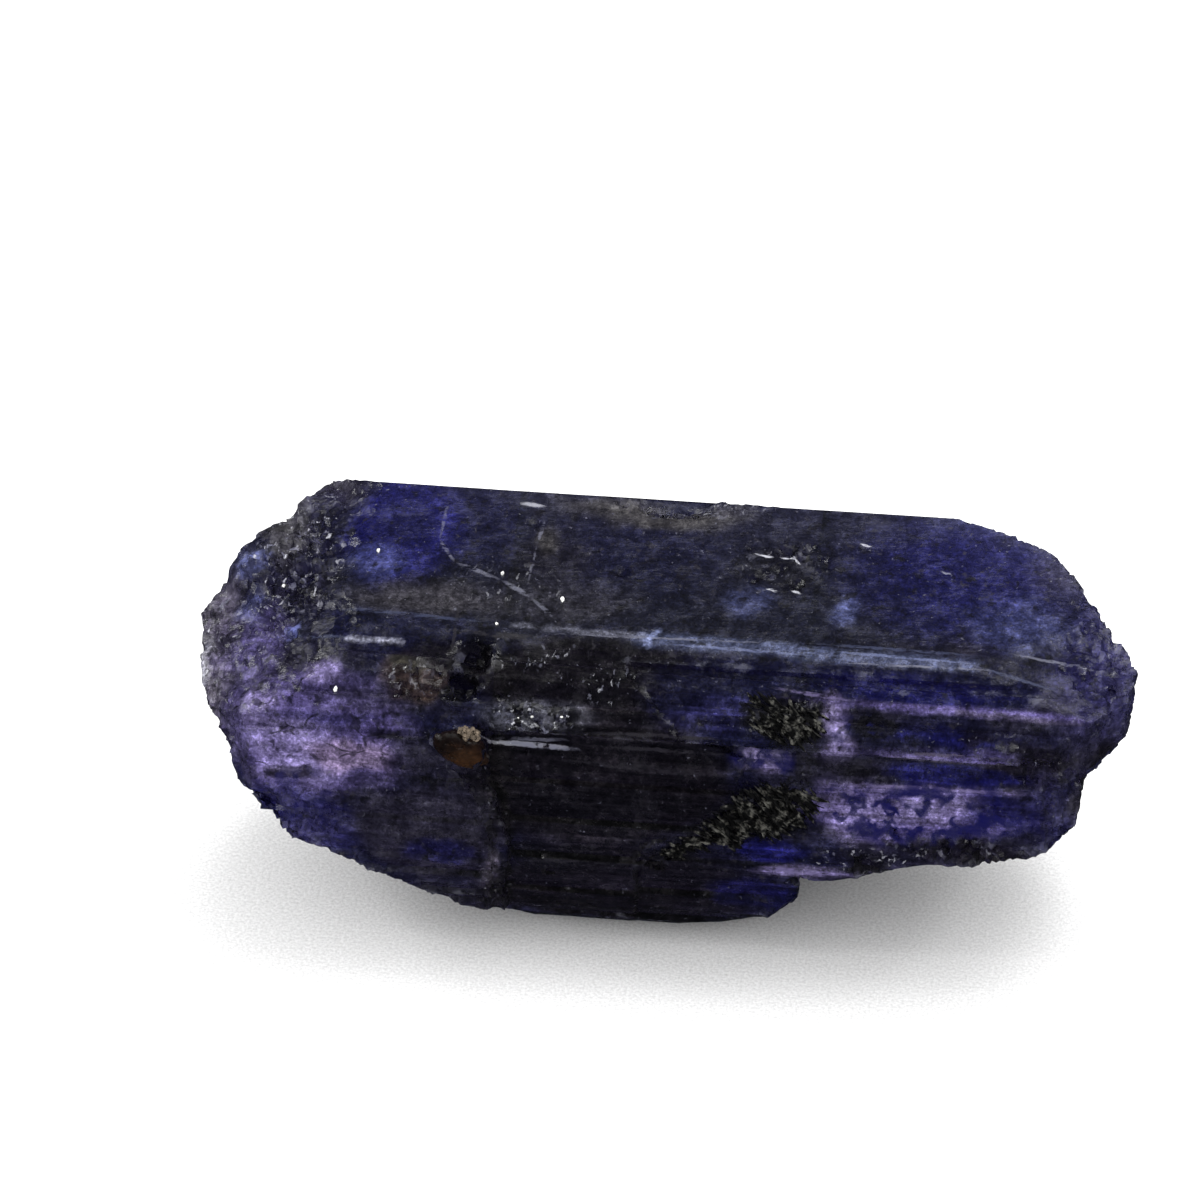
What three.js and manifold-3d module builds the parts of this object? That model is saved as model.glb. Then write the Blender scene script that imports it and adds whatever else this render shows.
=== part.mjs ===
// A rough tanzanite: one striated prism of zoisite, broken at both ends.
//
// Millimetres. +X runs along the prism, +Z is up and -Y is the striated front.
// The crystal lies on a small flat spot. The origin is the middle of its box, at the level of that spot.
// It grew as one piece, so its ledges, pits, graphite flakes and stained grain are all fused to it.

import * as THREE from "three";
import { mergeVertices } from "three/addons/utils/BufferGeometryUtils.js";
import Module from "manifold-3d";

const wasm = await Module();
wasm.setup();

// ---------------------------------------------------------------- driving sizes

const LEFT_END = -11.02; // where the two broken ends lie, along X
const RIGHT_TIP = 11.0;
const SPARE = 3; // how far the prism is drawn past its ends before they are broken off
const BIG = 40; // larger than the crystal every way
const BREAK_SPAN = 24; // how wide a broken surface is made before it is cut to the crystal

// The corners of the prism's section, as [y, z], from the front of the resting spot up the front and round.
const RESTING_FRONT = [-1.9, 0];
const FRONT_CORNERS = [
  [-2.7, 0.34],
  [-3.55, 1.15],
  [-4.15, 2.35],
  [-4.4, 3.75],
  [-4.38, 5.0],
  [-4.12, 6.1],
  [-3.74, 6.85],
  [-3.0, 7.62],
  [-2.14, 8.02],
];
const RIDGE = [-1.86, 8.12];
const BACK_EDGE = [3.12, 8.5];
const BACK_CORNERS = [
  [3.7, 8.05],
  [4.15, 7.2],
  [4.42, 5.9],
  [4.5, 4.6],
  [4.3, 3.2],
  [3.8, 1.9],
  [2.9, 0.75],
];
const RESTING_BACK = [1.8, 0];
const SECTION_CENTRE = [0, 4.2];
const FULL_DEPTH_FROM = 2.4; // the height from which a lowered section lies deeper by its whole depth

const STRIAE_PER_MM = 1.9; // growth steps across the striated faces
const STRIA_RELIEF = 0.07;
const STRIA_LEAST = 0.4; // the lowest step, of STRIA_RELIEF
const STRIA_UNEVEN = 0.3; // how far a step strays from its even place, of the spacing
const STRIA_RISER = 0.04; // half of a step's sloping riser, of the stretch between two corners

// Growth layers end in steps across the front, and right of each the front lies deeper.
// Their outlines are [x, z] corners.
const RIGHT_OF_ALL = BIG / 2;
const FRONT_STARTS = -0.5; // the Y before which a layer is cut away
const LAYERS = [
  {
    // the frosted margin of the upper step
    depth: 0.13,
    seed: 37,
    outline: [[-4.95, 6.72], [-4.72, 5.9], [-4.02, 5.05], [-3.72, 3.65], [-3.86, 1.8], [-4.1, -0.5]],
    top: 6.72,
  },
  {
    depth: 0.42,
    seed: 23,
    outline: [[-4.6, 6.66], [-4.37, 5.96], [-3.65, 5.12], [-3.36, 3.65], [-3.5, 1.77], [-3.75, -0.5]],
    top: 6.6,
  },
  {
    // the diagonal edge that runs down from the ridge
    depth: 0.1,
    seed: 27,
    outline: [[-0.85, 7.9], [0.55, 6.9], [0.7, 6.6]],
    top: 7.9,
  },
  {
    depth: 0.56,
    seed: 29,
    outline: [[0.7, 6.6], [2.1, 6.2], [1.9, 5.2], [0.8, 4.1], [-0.35, 2.9], [-0.6, -0.5]],
    top: 6.6,
  },
];

// Broken surfaces: each takes away what lies beyond a plane through at that faces facing.
// The surface left is uneven by relief over cells of about grain.
// Its ledges are ledgeRise high and ledgeRun wide.
const STRAY = 0.3; // how far a point of a broken surface strays sideways, of the grain
const LEDGE_SWAY = 0.35; // how far a ledge's edge winds, and how fast
const LEDGE_WIND = 1.1;
const LEDGE_ROUGHNESS = 0.25;
const BREAKS = [
  // left end: the rough corner off the top, in two faces
  { at: [-8.25, 3.1, 8.5], facing: [-0.42, -0.16, 0.9], relief: 0.12, grain: 0.6, seed: 3 },
  { at: [-7.6, 0.3, 8.3], facing: [-0.4, 0.02, 0.92], relief: 0.12, grain: 0.6, seed: 4 },
  { at: [-10.62, 1.0, 7.1], facing: [-0.85, 0.1, 0.5], relief: 0.1, grain: 0.7, seed: 2 },
  // left end: the end itself, its turns into the front and the back, and the turn under it
  {
    at: [LEFT_END, -1, 6.9], facing: [-0.97, -0.08, -0.22],
    relief: 0.1, ledgeRise: 0.14, ledgeRun: 0.7, seed: 5,
  },
  {
    at: [-9.7, -3.74, 6.85], facing: [-0.7, -0.7, 0.1],
    relief: 0.06, ledgeRise: 0.12, ledgeRun: 0.5, seed: 7,
  },
  { at: [-9.82, 2.05, 7], facing: [-0.83, 0.55, 0.03], relief: 0.14, seed: 9 },
  { at: [-8.7, 3.8, 5], facing: [-0.5, 0.85, -0.1], relief: 0.16, seed: 10 },
  {
    at: [-10.13, -3.3, 5.53], facing: [-0.9, -0.25, -0.36],
    relief: 0.08, ledgeRise: 0.12, ledgeRun: 0.6, seed: 15,
  },
  {
    at: [-9.37, -3.8, 4.2], facing: [-0.6, -0.2, -0.76],
    relief: 0.08, ledgeRise: 0.12, ledgeRun: 0.6, seed: 16,
  },
  // left underside
  {
    at: [-4.03, 0, 0.17], facing: [-0.43, -0.25, -0.87],
    relief: 0.05, ledgeRise: 0.1, ledgeRun: 1.5, seed: 13,
  },
  { at: [-6.5, 3.5, 1.6], facing: [-0.3, 0.45, -0.84], relief: 0.14, seed: 17 },
  // the lower back, broken off in two faces
  { at: [1.5, 4.25, 2.9], facing: [0.12, 0.8, -0.58], relief: 0.14, seed: 43 },
  {
    at: [-3.5, 4.3, 3.0], facing: [-0.22, 0.86, -0.46],
    relief: 0.12, ledgeRise: 0.12, ledgeRun: 1.2, seed: 44,
  },
  // the lower edge of the front rises a little towards the right
  { at: [-1.46, -2.76, 0.1], facing: [0.146, -0.623, -0.77], relief: 0.03, seed: 18 },
  // right end: two oblique breaks round the back, the rim, the blunt tip and its turn into the front
  { at: [7.77, 2.65, 8.5], facing: [0.41, 0.91, 0.08], relief: 0.1, seed: 19 },
  { at: [10.14, 0.25, 8.2], facing: [0.86, 0.51, 0.05], relief: 0.1, ledgeRise: 0.08, seed: 21 },
  { at: [10.1, 0.2, 8.33], facing: [0.6, 0.33, 0.73], relief: 0.06, grain: 0.6, seed: 22 },
  { at: [RIGHT_TIP, -1.9, 7.1], facing: [0.98, -0.1, -0.15], relief: 0.06, seed: 25 },
  { at: [10.65, -2.75, 6.8], facing: [0.7, -0.7, 0.1], relief: 0.06, seed: 26 },
  // a bevel between the top and the front, near the tip
  { at: [7.3, -1.9, 8.12], facing: [0.12, -0.25, 0.96], relief: 0 },
];

// The right of the underside starts to rise at a step, and is broken beyond it.
// The corner before the step is bevelled.
const UNDERSIDE_STEP = { at: [2.95, 0, 0], facing: [1, 0.1, -0.05] };
const STEP_BEVEL = { at: [2.75, -3.3, 1.35], facing: [0.6, -0.45, -0.66], relief: 0.04, seed: 45 };
const BEVEL_ENDS = { ...UNDERSIDE_STEP, at: [3.05, 0, 0] };
const RIGHT_BREAKS = [
  { at: [6.34, -4, 3.6], facing: [0.2, -0.5, -0.84], relief: 0.08, seed: 31 },
  { at: [4.2, 0, 0.4], facing: [0.42, -0.05, -0.9], relief: 0.14, seed: 33 },
  { at: [9.7, -3.3, 4.5], facing: [0.75, -0.3, -0.6], relief: 0.08, seed: 35 },
  { at: [9.75, -3.35, 5], facing: [0.65, -0.75, 0.02], relief: 0.07, seed: 36 },
];

// The notch under the tip: what lies beyond both of its faces is gone.
const NOTCH = [
  { at: [RIGHT_TIP - 0.1, -2.13, 6.5], facing: [0.72, -0.42, -0.55], relief: 0 },
  { at: [9.93, -2.7, 5.3], facing: [0.98, 0.05, -0.2], relief: 0.06, seed: 41 },
];

// Clefts: angular blocks that have come away, with their half sizes along X, Y and Z.
// Each is turned about Y, by radians.
const CLEFTS = [
  // the shallow notch in the back edge of the top
  { at: [0, 3.3, 8.7], size: [1.5, 0.8, 0.42], turn: 0 },
  { at: [-0.85, 3.25, 8.66], size: [0.7, 0.5, 0.3], turn: 0.2 },
  // the dark cleft under the ridge, left of the middle, and the broken ground beside it
  { at: [-4.35, -3.0, 7.85], size: [0.5, 0.75, 0.9], turn: 0.35 },
  { at: [-4.95, -3.05, 7.8], size: [0.75, 0.5, 0.32], turn: 0.5 },
  { at: [-5.6, -3.2, 7.6], size: [0.6, 0.4, 0.3], turn: -0.3 },
  // a pit on the left corner
  { at: [-9.72, -1.55, 7.8], size: [0.38, 0.4, 0.4], turn: 0.7 },
  // the dark pit in the lower edge, right of the middle
  { at: [3.5, -3.95, 2.75], size: [0.6, 0.6, 0.42], turn: 0.2 },
];

// Shell-shaped scars on the back: rounded blocks that have come away.
const SCARS = [
  { at: [-3.2, 5.3, 6.1], size: [2.6, 1.2, 1.7] },
  { at: [4.4, 5.0, 3.6], size: [1.9, 1.1, 1.5] },
];

// Fields of small pits or flakes.
// Each is scattered over the patch centre +- across +- along, seen from facing.
const PIT_WIDTH = 0.85; // across, and down into the surface, of a pit's radius
const PIT_DEPTH = 0.55;
const PIT_TILT = 0.5; // radians
const PITS = [
  // the rough left corner, in two fields, and the left rim
  {
    centre: [-9.0, 1.3, 8], across: [0.7, 0, 0], along: [0.25, 1.7, 0],
    facing: [-0.4, 0, 0.9], count: 24, radius: 0.27, seed: 51,
  },
  {
    centre: [-9.3, -1.2, 7.6], across: [0.8, 0, 0], along: [0, 1.2, 0],
    facing: [-0.3, -0.2, 0.9], count: 13, radius: 0.23, seed: 52,
  },
  {
    centre: [-10.3, -3, 6], across: [0.35, 0.3, 0], along: [0, 0, 1.5],
    facing: [-0.7, -0.7, 0.1], count: 14, radius: 0.2, seed: 53,
  },
  // the lower left edge
  {
    centre: [-7.8, -3.9, 3.5], across: [1.6, 0, -0.9], along: [0, 0, 0.35],
    facing: [-0.2, -1, -0.2], count: 12, radius: 0.22, seed: 54,
  },
  // the right rim
  {
    centre: [10.2, -0.2, 8], across: [0.35, 0.2, 0], along: [-0.95, 1.7, 0],
    facing: [0.3, 0.1, 0.9], count: 18, radius: 0.21, seed: 55,
  },
  {
    centre: [9.6, -3.4, 5], across: [0.5, 0.3, 0], along: [0, 0, 0.9],
    facing: [0.6, -0.8, 0], count: 12, radius: 0.2, seed: 56,
  },
  // the pits in the top, and the chipped back edge
  {
    centre: [2.6, 1.2, 8.4], across: [0.7, 0, 0], along: [0, 0.75, 0],
    facing: [0, 0, 1], count: 9, radius: 0.2, seed: 57,
  },
  {
    centre: [0.3, 2.95, 8.5], across: [1.8, 0, 0], along: [0, 0.22, 0],
    facing: [0, 0, 1], count: 12, radius: 0.2, seed: 58,
  },
  // the glinting rough patch and the small pits in the middle of the front
  {
    centre: [-2.8, -3.6, 7.1], across: [0.8, 0, 0], along: [0, 0, 0.45],
    facing: [0, -0.8, 0.5], count: 12, radius: 0.19, seed: 59,
  },
  {
    centre: [-1.5, -3.4, 2.2], across: [2, 0, 0], along: [0, 0, 1.1],
    facing: [0, -1, -0.2], count: 8, radius: 0.2, seed: 60,
  },
  {
    centre: [7.0, -4, 4.2], across: [2.2, 0, 0.3], along: [0, 0, 0.5],
    facing: [0, -1, 0], count: 10, radius: 0.19, seed: 61,
  },
];
const FLAKES = [
  {
    centre: [3.2, -3.2, 7.15], across: [0.75, 0, 0], along: [0.05, 0, 0.35],
    facing: [0, -0.9, 0.45], count: 20, radius: 0.27, seed: 71,
  },
  {
    centre: [0.6, -4, 3.9], across: [0.9, 0, 0.55], along: [0.16, 0, 0.24],
    facing: [0, -1, 0.1], count: 22, radius: 0.25, seed: 72,
  },
  {
    centre: [2.6, -3.9, 4.7], across: [0.7, 0, 0.2], along: [0.1, 0, 0.6],
    facing: [0, -1, 0.1], count: 26, radius: 0.28, seed: 73,
  },
];
const FLAKE_SIDES = 5;
const FLAKE_THICKNESS = 0.12;
const FLAKE_TAPER = 0.8; // the radius of a flake's under face, of that of its upper one
const FLAKE_WIDTH = 0.95; // across, of its radius
const FLAKE_LEAN = 0.5; // radians, out of the surface
const FLAKE_TURN = 0.75; // radians, the way that the flakes' long sides run down to the right

// The stained three-cornered grain caught at the top of the step, as [x, z] corners.
const GRAIN_OUTLINE = [[-5.1, 6.6], [-4.3, 6.75], [-4.02, 6.35], [-4.1, 5.92], [-4.6, 6.05]];
const GRAIN_FRONT = -4.2;
const GRAIN_THICKNESS = 0.8;
const GRAIN_BEVEL = 0.12;

// ---------------------------------------------------------------- tools

// Numbers from 0 to 1 that come out the same each time.
function seeded(seed) {
  let state = seed >>> 0;
  return () => {
    state = (state * 1664525 + 1013904223) >>> 0;
    return state / 4294967296;
  };
}

// A value made larger or smaller by up to SPREAD of itself.
const SPREAD = 0.4;
function about(value, random) {
  return value * (1 + SPREAD * (random() * 2 - 1));
}

// A closed three.js geometry as a manifold-3d solid. Corners closer together than weld become one.
function solidOf(geometry, weld = 1e-4) {
  const bare = new THREE.BufferGeometry();
  bare.setAttribute("position", geometry.getAttribute("position").clone());
  if (geometry.index) bare.setIndex(geometry.index.clone());
  const merged = mergeVertices(bare, weld);
  return new wasm.Manifold(
    new wasm.Mesh({
      numProp: 3,
      vertProperties: new Float32Array(merged.attributes.position.array),
      triVerts: new Uint32Array(merged.index.array),
    }),
  );
}

// A manifold-3d solid as a three.js geometry with flat faces.
function geometryOf(solid) {
  const mesh = solid.getMesh();
  const step = mesh.numProp;
  const position = new Float32Array(mesh.numVert * 3);
  for (let i = 0; i < mesh.numVert; i++) {
    position.set(mesh.vertProperties.subarray(i * step, i * step + 3), i * 3);
  }
  const geometry = new THREE.BufferGeometry();
  geometry.setAttribute("position", new THREE.BufferAttribute(position, 3));
  geometry.setIndex(new THREE.BufferAttribute(new Uint32Array(mesh.triVerts), 1));
  return geometry;
}

// Turns a geometry made round +Z so that +Z becomes facing, and moves its origin to at.
function aim(geometry, at, facing, spin = 0) {
  const up = new THREE.Vector3(0, 0, 1);
  const turn = new THREE.Quaternion().setFromUnitVectors(up, new THREE.Vector3(...facing).normalize());
  const roll = new THREE.Quaternion().setFromAxisAngle(up, spin);
  geometry.applyQuaternion(turn.multiply(roll));
  return geometry.translate(...at);
}

// Everything beyond the broken surface that an entry of BREAKS describes.
function beyond({ at, facing, relief = 0, grain = 1, ledgeRise = 0, ledgeRun = 1, seed = 0 }) {
  const random = seeded(seed);
  const cells = relief > 0 ? Math.round(BREAK_SPAN / grain) : 1;
  const edge = BREAK_SPAN / 2 - 1e-6;
  const block = new THREE.BoxGeometry(BREAK_SPAN, BREAK_SPAN, BIG / 2, cells, cells, 1);
  block.translate(0, 0, BIG / 4);
  const position = block.getAttribute("position");
  const moved = new Map();
  for (let i = 0; i < position.count && relief > 0; i++) {
    if (Math.abs(position.getZ(i)) > 1e-6) continue;
    const x = position.getX(i);
    const y = position.getY(i);
    const key = `${x.toFixed(3)},${y.toFixed(3)}`;
    if (!moved.has(key)) {
      const stray = Math.max(Math.abs(x), Math.abs(y)) < edge ? grain * STRAY : 0;
      const wound = x + LEDGE_SWAY * Math.sin(y * LEDGE_WIND) + LEDGE_ROUGHNESS * random();
      const phase = wound / ledgeRun;
      const ledge = ledgeRise * (phase - Math.floor(phase) - 0.5);
      moved.set(key, [
        x + stray * (random() * 2 - 1),
        y + stray * (random() * 2 - 1),
        relief * (random() * 2 - 1) + ledge,
      ]);
    }
    position.setXYZ(i, ...moved.get(key));
  }
  return solidOf(aim(block, at, facing));
}

// What breaks off falls away, and the largest body is the crystal.
function largest(solid) {
  return solid.decompose().reduce((a, b) => (a.volume() > b.volume() ? a : b));
}

// ---------------------------------------------------------------- the prism

// Moves a section corner inward by depth, and less so near the resting spot, where all sections meet.
function inward([y, z], depth) {
  const corner = new THREE.Vector2(y, z);
  const share = Math.min(z / FULL_DEPTH_FROM, 1);
  return corner.add(new THREE.Vector2(...SECTION_CENTRE).sub(corner).setLength(depth * share));
}

// The points of a striated face through the corners given, after the first of them, with growth steps.
function striated(corners, depth, random) {
  const points = [];
  let from = inward(corners[0], depth);
  for (const corner of corners.slice(1)) {
    const to = inward(corner, depth);
    const run = to.clone().sub(from);
    const out = new THREE.Vector2(-run.y, run.x).normalize();
    const steps = Math.max(1, Math.round(run.length() * STRIAE_PER_MM));
    for (let s = 1; s < steps; s++) {
      const share = (s + STRIA_UNEVEN * (random() - 0.5)) / steps;
      const rise = STRIA_RELIEF * (STRIA_LEAST + (1 - STRIA_LEAST) * random());
      const lip = from.clone().addScaledVector(run, share - STRIA_RISER);
      const foot = from.clone().addScaledVector(run, share + STRIA_RISER);
      points.push(lip.addScaledVector(out, rise), foot.addScaledVector(out, -rise));
    }
    points.push(to);
    from = to;
  }
  return points;
}

// The prism whose section is moved inward by depth. Each seed gives other growth steps.
function prism(depth, seed) {
  const random = seeded(seed);
  const points = [
    inward(RESTING_BACK, depth),
    inward(RESTING_FRONT, depth),
    inward(FRONT_CORNERS[0], depth),
    ...striated([...FRONT_CORNERS, RIDGE], depth, random),
    inward(BACK_EDGE, depth),
    ...striated([BACK_EDGE, ...BACK_CORNERS], depth, random),
  ];
  const length = RIGHT_TIP - LEFT_END + 2 * SPARE;
  const drawn = new THREE.ExtrudeGeometry(new THREE.Shape(points), { depth: length, bevelEnabled: false });
  drawn.translate(0, 0, LEFT_END - SPARE);
  // The shape's x and y are the crystal's Y and Z, and it is drawn along X.
  drawn.applyMatrix4(new THREE.Matrix4().set(0, 0, 1, 0, 1, 0, 0, 0, 0, 1, 0, 0, 0, 0, 0, 1));
  return solidOf(drawn);
}

// An outline of [x, z] corners drawn from the plane Y = start towards the front.
function drawnForward(outline, start, options) {
  const shape = new THREE.Shape(outline.map(([x, z]) => new THREE.Vector2(x, z)));
  const drawn = new THREE.ExtrudeGeometry(shape, options);
  drawn.applyMatrix4(new THREE.Matrix4().set(1, 0, 0, 0, 0, 0, -1, start, 0, 1, 0, 0, 0, 0, 0, 1));
  return solidOf(drawn);
}

// Lowers the front right of a layer's edge to a deeper section.
function lowered(crystal, { depth, seed, outline, top }) {
  const patch = [...outline, [RIGHT_OF_ALL, outline.at(-1)[1]], [RIGHT_OF_ALL, top]];
  const before = drawnForward(patch, FRONT_STARTS, { depth: BIG / 2, bevelEnabled: false });
  return crystal.subtract(before.subtract(prism(depth, seed)));
}

// ---------------------------------------------------------------- what is scattered on it

// Where the rays from a field's facing meet the crystal: count points, with the surface's normal there.
function scattered(crystal, { centre, across, along, facing, count }, random) {
  const target = new THREE.Mesh(geometryOf(crystal));
  const towards = new THREE.Vector3(...facing).normalize();
  const points = [];
  for (let i = 0; i < count; i++) {
    const u = random() * 2 - 1;
    const v = random() * 2 - 1;
    const over = new THREE.Vector3(...centre)
      .addScaledVector(new THREE.Vector3(...across), u)
      .addScaledVector(new THREE.Vector3(...along), v)
      .addScaledVector(towards, BIG / 4);
    const hit = new THREE.Raycaster(over, towards.clone().negate()).intersectObject(target)[0];
    if (hit) points.push({ point: hit.point, normal: hit.face.normal });
  }
  return points;
}

// A field of angular pits.
function pitted(crystal, field) {
  const random = seeded(field.seed);
  for (const { point, normal } of scattered(crystal, field, random)) {
    const radius = about(field.radius, random);
    const chip = new THREE.OctahedronGeometry(radius, 0);
    chip.scale(1, about(PIT_WIDTH, random), PIT_DEPTH);
    chip.rotateY(PIT_TILT * (random() - 0.5));
    crystal = crystal.subtract(solidOf(aim(chip, point.toArray(), normal.toArray(), random() * Math.PI)));
  }
  return crystal;
}

// A field of thin graphite flakes that stand half out of the surface, all leaning one way.
function flaked(crystal, field) {
  const random = seeded(field.seed);
  for (const { point } of scattered(crystal, field, random)) {
    const radius = about(field.radius, random);
    const flake = new THREE.CylinderGeometry(radius, radius * FLAKE_TAPER, FLAKE_THICKNESS, FLAKE_SIDES);
    flake.scale(1, 1, about(FLAKE_WIDTH, random));
    flake.rotateX(Math.PI / 2 + about(FLAKE_LEAN, random));
    crystal = crystal.add(solidOf(aim(flake, point.toArray(), field.facing, about(FLAKE_TURN, random))));
  }
  return crystal;
}

// The angular block that left a cleft, and the rounded one that left a scar.
function cleft({ at, size, turn }) {
  return solidOf(new THREE.OctahedronGeometry(1, 0).scale(...size).rotateY(turn).translate(...at));
}

function scar({ at, size }) {
  return solidOf(new THREE.IcosahedronGeometry(1, 1).scale(...size).translate(...at));
}

// ---------------------------------------------------------------- the crystal

const FIRST_SEED = 11;
let crystal = prism(0, FIRST_SEED);
for (const layer of LAYERS) crystal = lowered(crystal, layer);
for (const face of BREAKS) crystal = crystal.subtract(beyond(face));
crystal = crystal.subtract(beyond(STEP_BEVEL).subtract(beyond(BEVEL_ENDS)));
for (const face of RIGHT_BREAKS) crystal = crystal.subtract(beyond(face).intersect(beyond(UNDERSIDE_STEP)));
crystal = crystal.subtract(beyond(NOTCH[0]).intersect(beyond(NOTCH[1])));
for (const entry of CLEFTS) crystal = crystal.subtract(cleft(entry));
for (const entry of SCARS) crystal = crystal.subtract(scar(entry));
for (const field of PITS) crystal = pitted(crystal, field);
crystal = crystal.add(
  drawnForward(GRAIN_OUTLINE, GRAIN_FRONT + GRAIN_THICKNESS, {
    depth: GRAIN_THICKNESS,
    bevelEnabled: true,
    bevelThickness: GRAIN_BEVEL,
    bevelSize: GRAIN_BEVEL,
    bevelSegments: 1,
  }),
);
for (const field of FLAKES) crystal = flaked(crystal, field);
crystal = largest(crystal);

const centred = geometryOf(crystal);
centred.computeBoundingBox();
const middle = centred.boundingBox.getCenter(new THREE.Vector3());
centred.translate(-middle.x, -middle.y, -centred.boundingBox.min.z);

// Slivers left by the cuts close up, so that nothing hangs on by a point.
const SLIVER = 1e-3;
const geometry = geometryOf(largest(solidOf(centred, SLIVER)));

const material = new THREE.MeshStandardMaterial({ color: 0x2a2760, roughness: 0.3, metalness: 0 });
const stone = new THREE.Mesh(geometry, material);
stone.name = "tanzanite_crystal";
const part = new THREE.Group();
part.add(stone);

export default part;
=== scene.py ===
"""A rough tanzanite crystal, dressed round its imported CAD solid.

Run as a script, it makes the crystal, its graphite, the stained grain, the dust on it and the stage.
Settings are in metres, as the scene is. The modelling below works in millimetres.
"""

import math
from collections import namedtuple

import bmesh
import bpy
import numpy as np
from bpy.props import FloatProperty, FloatVectorProperty, PointerProperty
from bpy.types import Operator, Panel, PropertyGroup
from mathutils import Matrix, Vector
from mathutils.bvhtree import BVHTree
from mathutils.kdtree import KDTree


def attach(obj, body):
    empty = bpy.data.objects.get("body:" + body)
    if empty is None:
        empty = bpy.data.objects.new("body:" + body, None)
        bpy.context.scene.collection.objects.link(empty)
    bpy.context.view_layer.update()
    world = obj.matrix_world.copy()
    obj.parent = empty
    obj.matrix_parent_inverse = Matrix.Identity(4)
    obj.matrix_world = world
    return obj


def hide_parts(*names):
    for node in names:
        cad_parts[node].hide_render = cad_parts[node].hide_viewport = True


bl_info = {
    "name": "Rough tanzanite",
    "version": (1, 0, 0),
    "blender": (4, 5, 0),
    "location": "View3D > Sidebar > Tanzanite",
    "description": "Builds a rough tanzanite crystal with graphite, a stained grain, dust and a stage",
    "category": "Add Mesh",
}

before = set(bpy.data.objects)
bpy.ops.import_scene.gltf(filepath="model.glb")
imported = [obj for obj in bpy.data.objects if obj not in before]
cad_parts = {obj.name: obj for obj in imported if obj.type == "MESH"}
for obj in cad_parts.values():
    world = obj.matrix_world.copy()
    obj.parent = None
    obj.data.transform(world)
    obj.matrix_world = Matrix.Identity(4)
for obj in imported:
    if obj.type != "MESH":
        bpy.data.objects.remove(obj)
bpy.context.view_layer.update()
NODE = "tanzanite_crystal"
BODY = "root"
MM = 0.001


# ---------------------------------------------------------------- settings


def length(name, description, millimetres):
    """A length in metres, given here in millimetres."""
    return FloatProperty(
        name=name, description=description, default=millimetres * MM, min=0, precision=6, unit="LENGTH"
    )


def colour(name, description, default):
    """A linear colour."""
    return FloatVectorProperty(
        name=name, description=description, default=default, size=3, min=0, max=1, subtype="COLOR"
    )


def share(name, description, default):
    """A number from 0 to 1."""
    return FloatProperty(name=name, description=description, default=default, min=0, max=1, subtype="FACTOR")


class CrystalSettings(PropertyGroup):
    voxel: length("Voxel", "Size of the mesh's quads", 0.093)
    stria_depth: length("Stria depth", "How deep the growth lines are along the prism", 0.028)
    break_depth: length("Break depth", "How uneven the broken surfaces are", 0.1)
    sharp_angle: FloatProperty(
        name="Sharp angle", description="Edges that turn by more than this stay sharp",
        default=math.radians(26), subtype="ANGLE",
    )
    ior: FloatProperty(name="IOR", description="Index of refraction of zoisite", default=1.69, min=1)
    clearness: share("Clearness", "How much of the light goes through the surface", 0.3)
    absorption: FloatProperty(
        name="Absorption", description="How fast the crystal takes up light, per metre", default=600, min=0
    )
    body_tint: colour("Body tint", "Colour of the light that gets through", (0.25, 0.2, 0.5))
    # Lilac, rose and violet are the crystal's own violet, lightened by a painted glow of light shining
    # through where it is thin.
    lilac: colour("Lilac", "Thin clear windows", (0.17, 0.14, 0.29))
    rose: colour("Rose lilac", "The palest window, on the left", (0.21, 0.155, 0.27))
    violet: colour("Violet", "Clear ground of the ends", (0.075, 0.06, 0.17))
    indigo: colour("Indigo", "Blue-violet facets", (0.021, 0.019, 0.085))
    royal: colour("Royal blue", "Deep blue zones", (0.0045, 0.0045, 0.062))
    pale_blue: colour("Pale blue", "Light blue spots", (0.10, 0.12, 0.30))
    navy: colour("Navy", "Ground of the top", (0.005, 0.0055, 0.021))
    slate: colour("Slate", "Hazy ground of the top", (0.007, 0.0078, 0.0165))
    dusk: colour("Dusk", "Smooth dark violet-grey facets", (0.0145, 0.013, 0.022))
    umber: colour("Umber", "Brown-black clouds", (0.005, 0.004, 0.005))
    # Black is graphite and dark inclusions, and also the painted shadow in the cleft at the top of the step.
    black: colour("Black", "Clefts and graphite", (0.003, 0.003, 0.0035))
    brown: colour("Brown", "Stains and inclusions", (0.04, 0.026, 0.018))
    olive: colour("Olive", "Weathered skin", (0.055, 0.052, 0.04))
    haze: colour("Haze", "Grey-brown veil under the top", (0.028, 0.026, 0.03))
    # Ridge is the pale band of worn edges along the ridge, with a painted reflection of the light on its
    # bevels; sky is a painted blue reflection on that band.
    ridge: colour("Ridge", "Pale band along the ridge", (0.062, 0.074, 0.14))
    sky: colour("Sky", "Light blue spot on the ridge", (0.3, 0.35, 0.62))
    mauve: colour("Mauve", "Purple-grey edges", (0.1, 0.085, 0.125))
    # Frost is worn, frosted edges and also painted highlights on chips, pit rims, the ledge and the ridge;
    # glint is a painted highlight on the palest chips.
    frost_and_highlight: colour("Frost", "Worn and frosted edges", (0.19, 0.195, 0.25))
    glint: colour("Glint", "The palest chips", (0.62, 0.63, 0.68))


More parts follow.
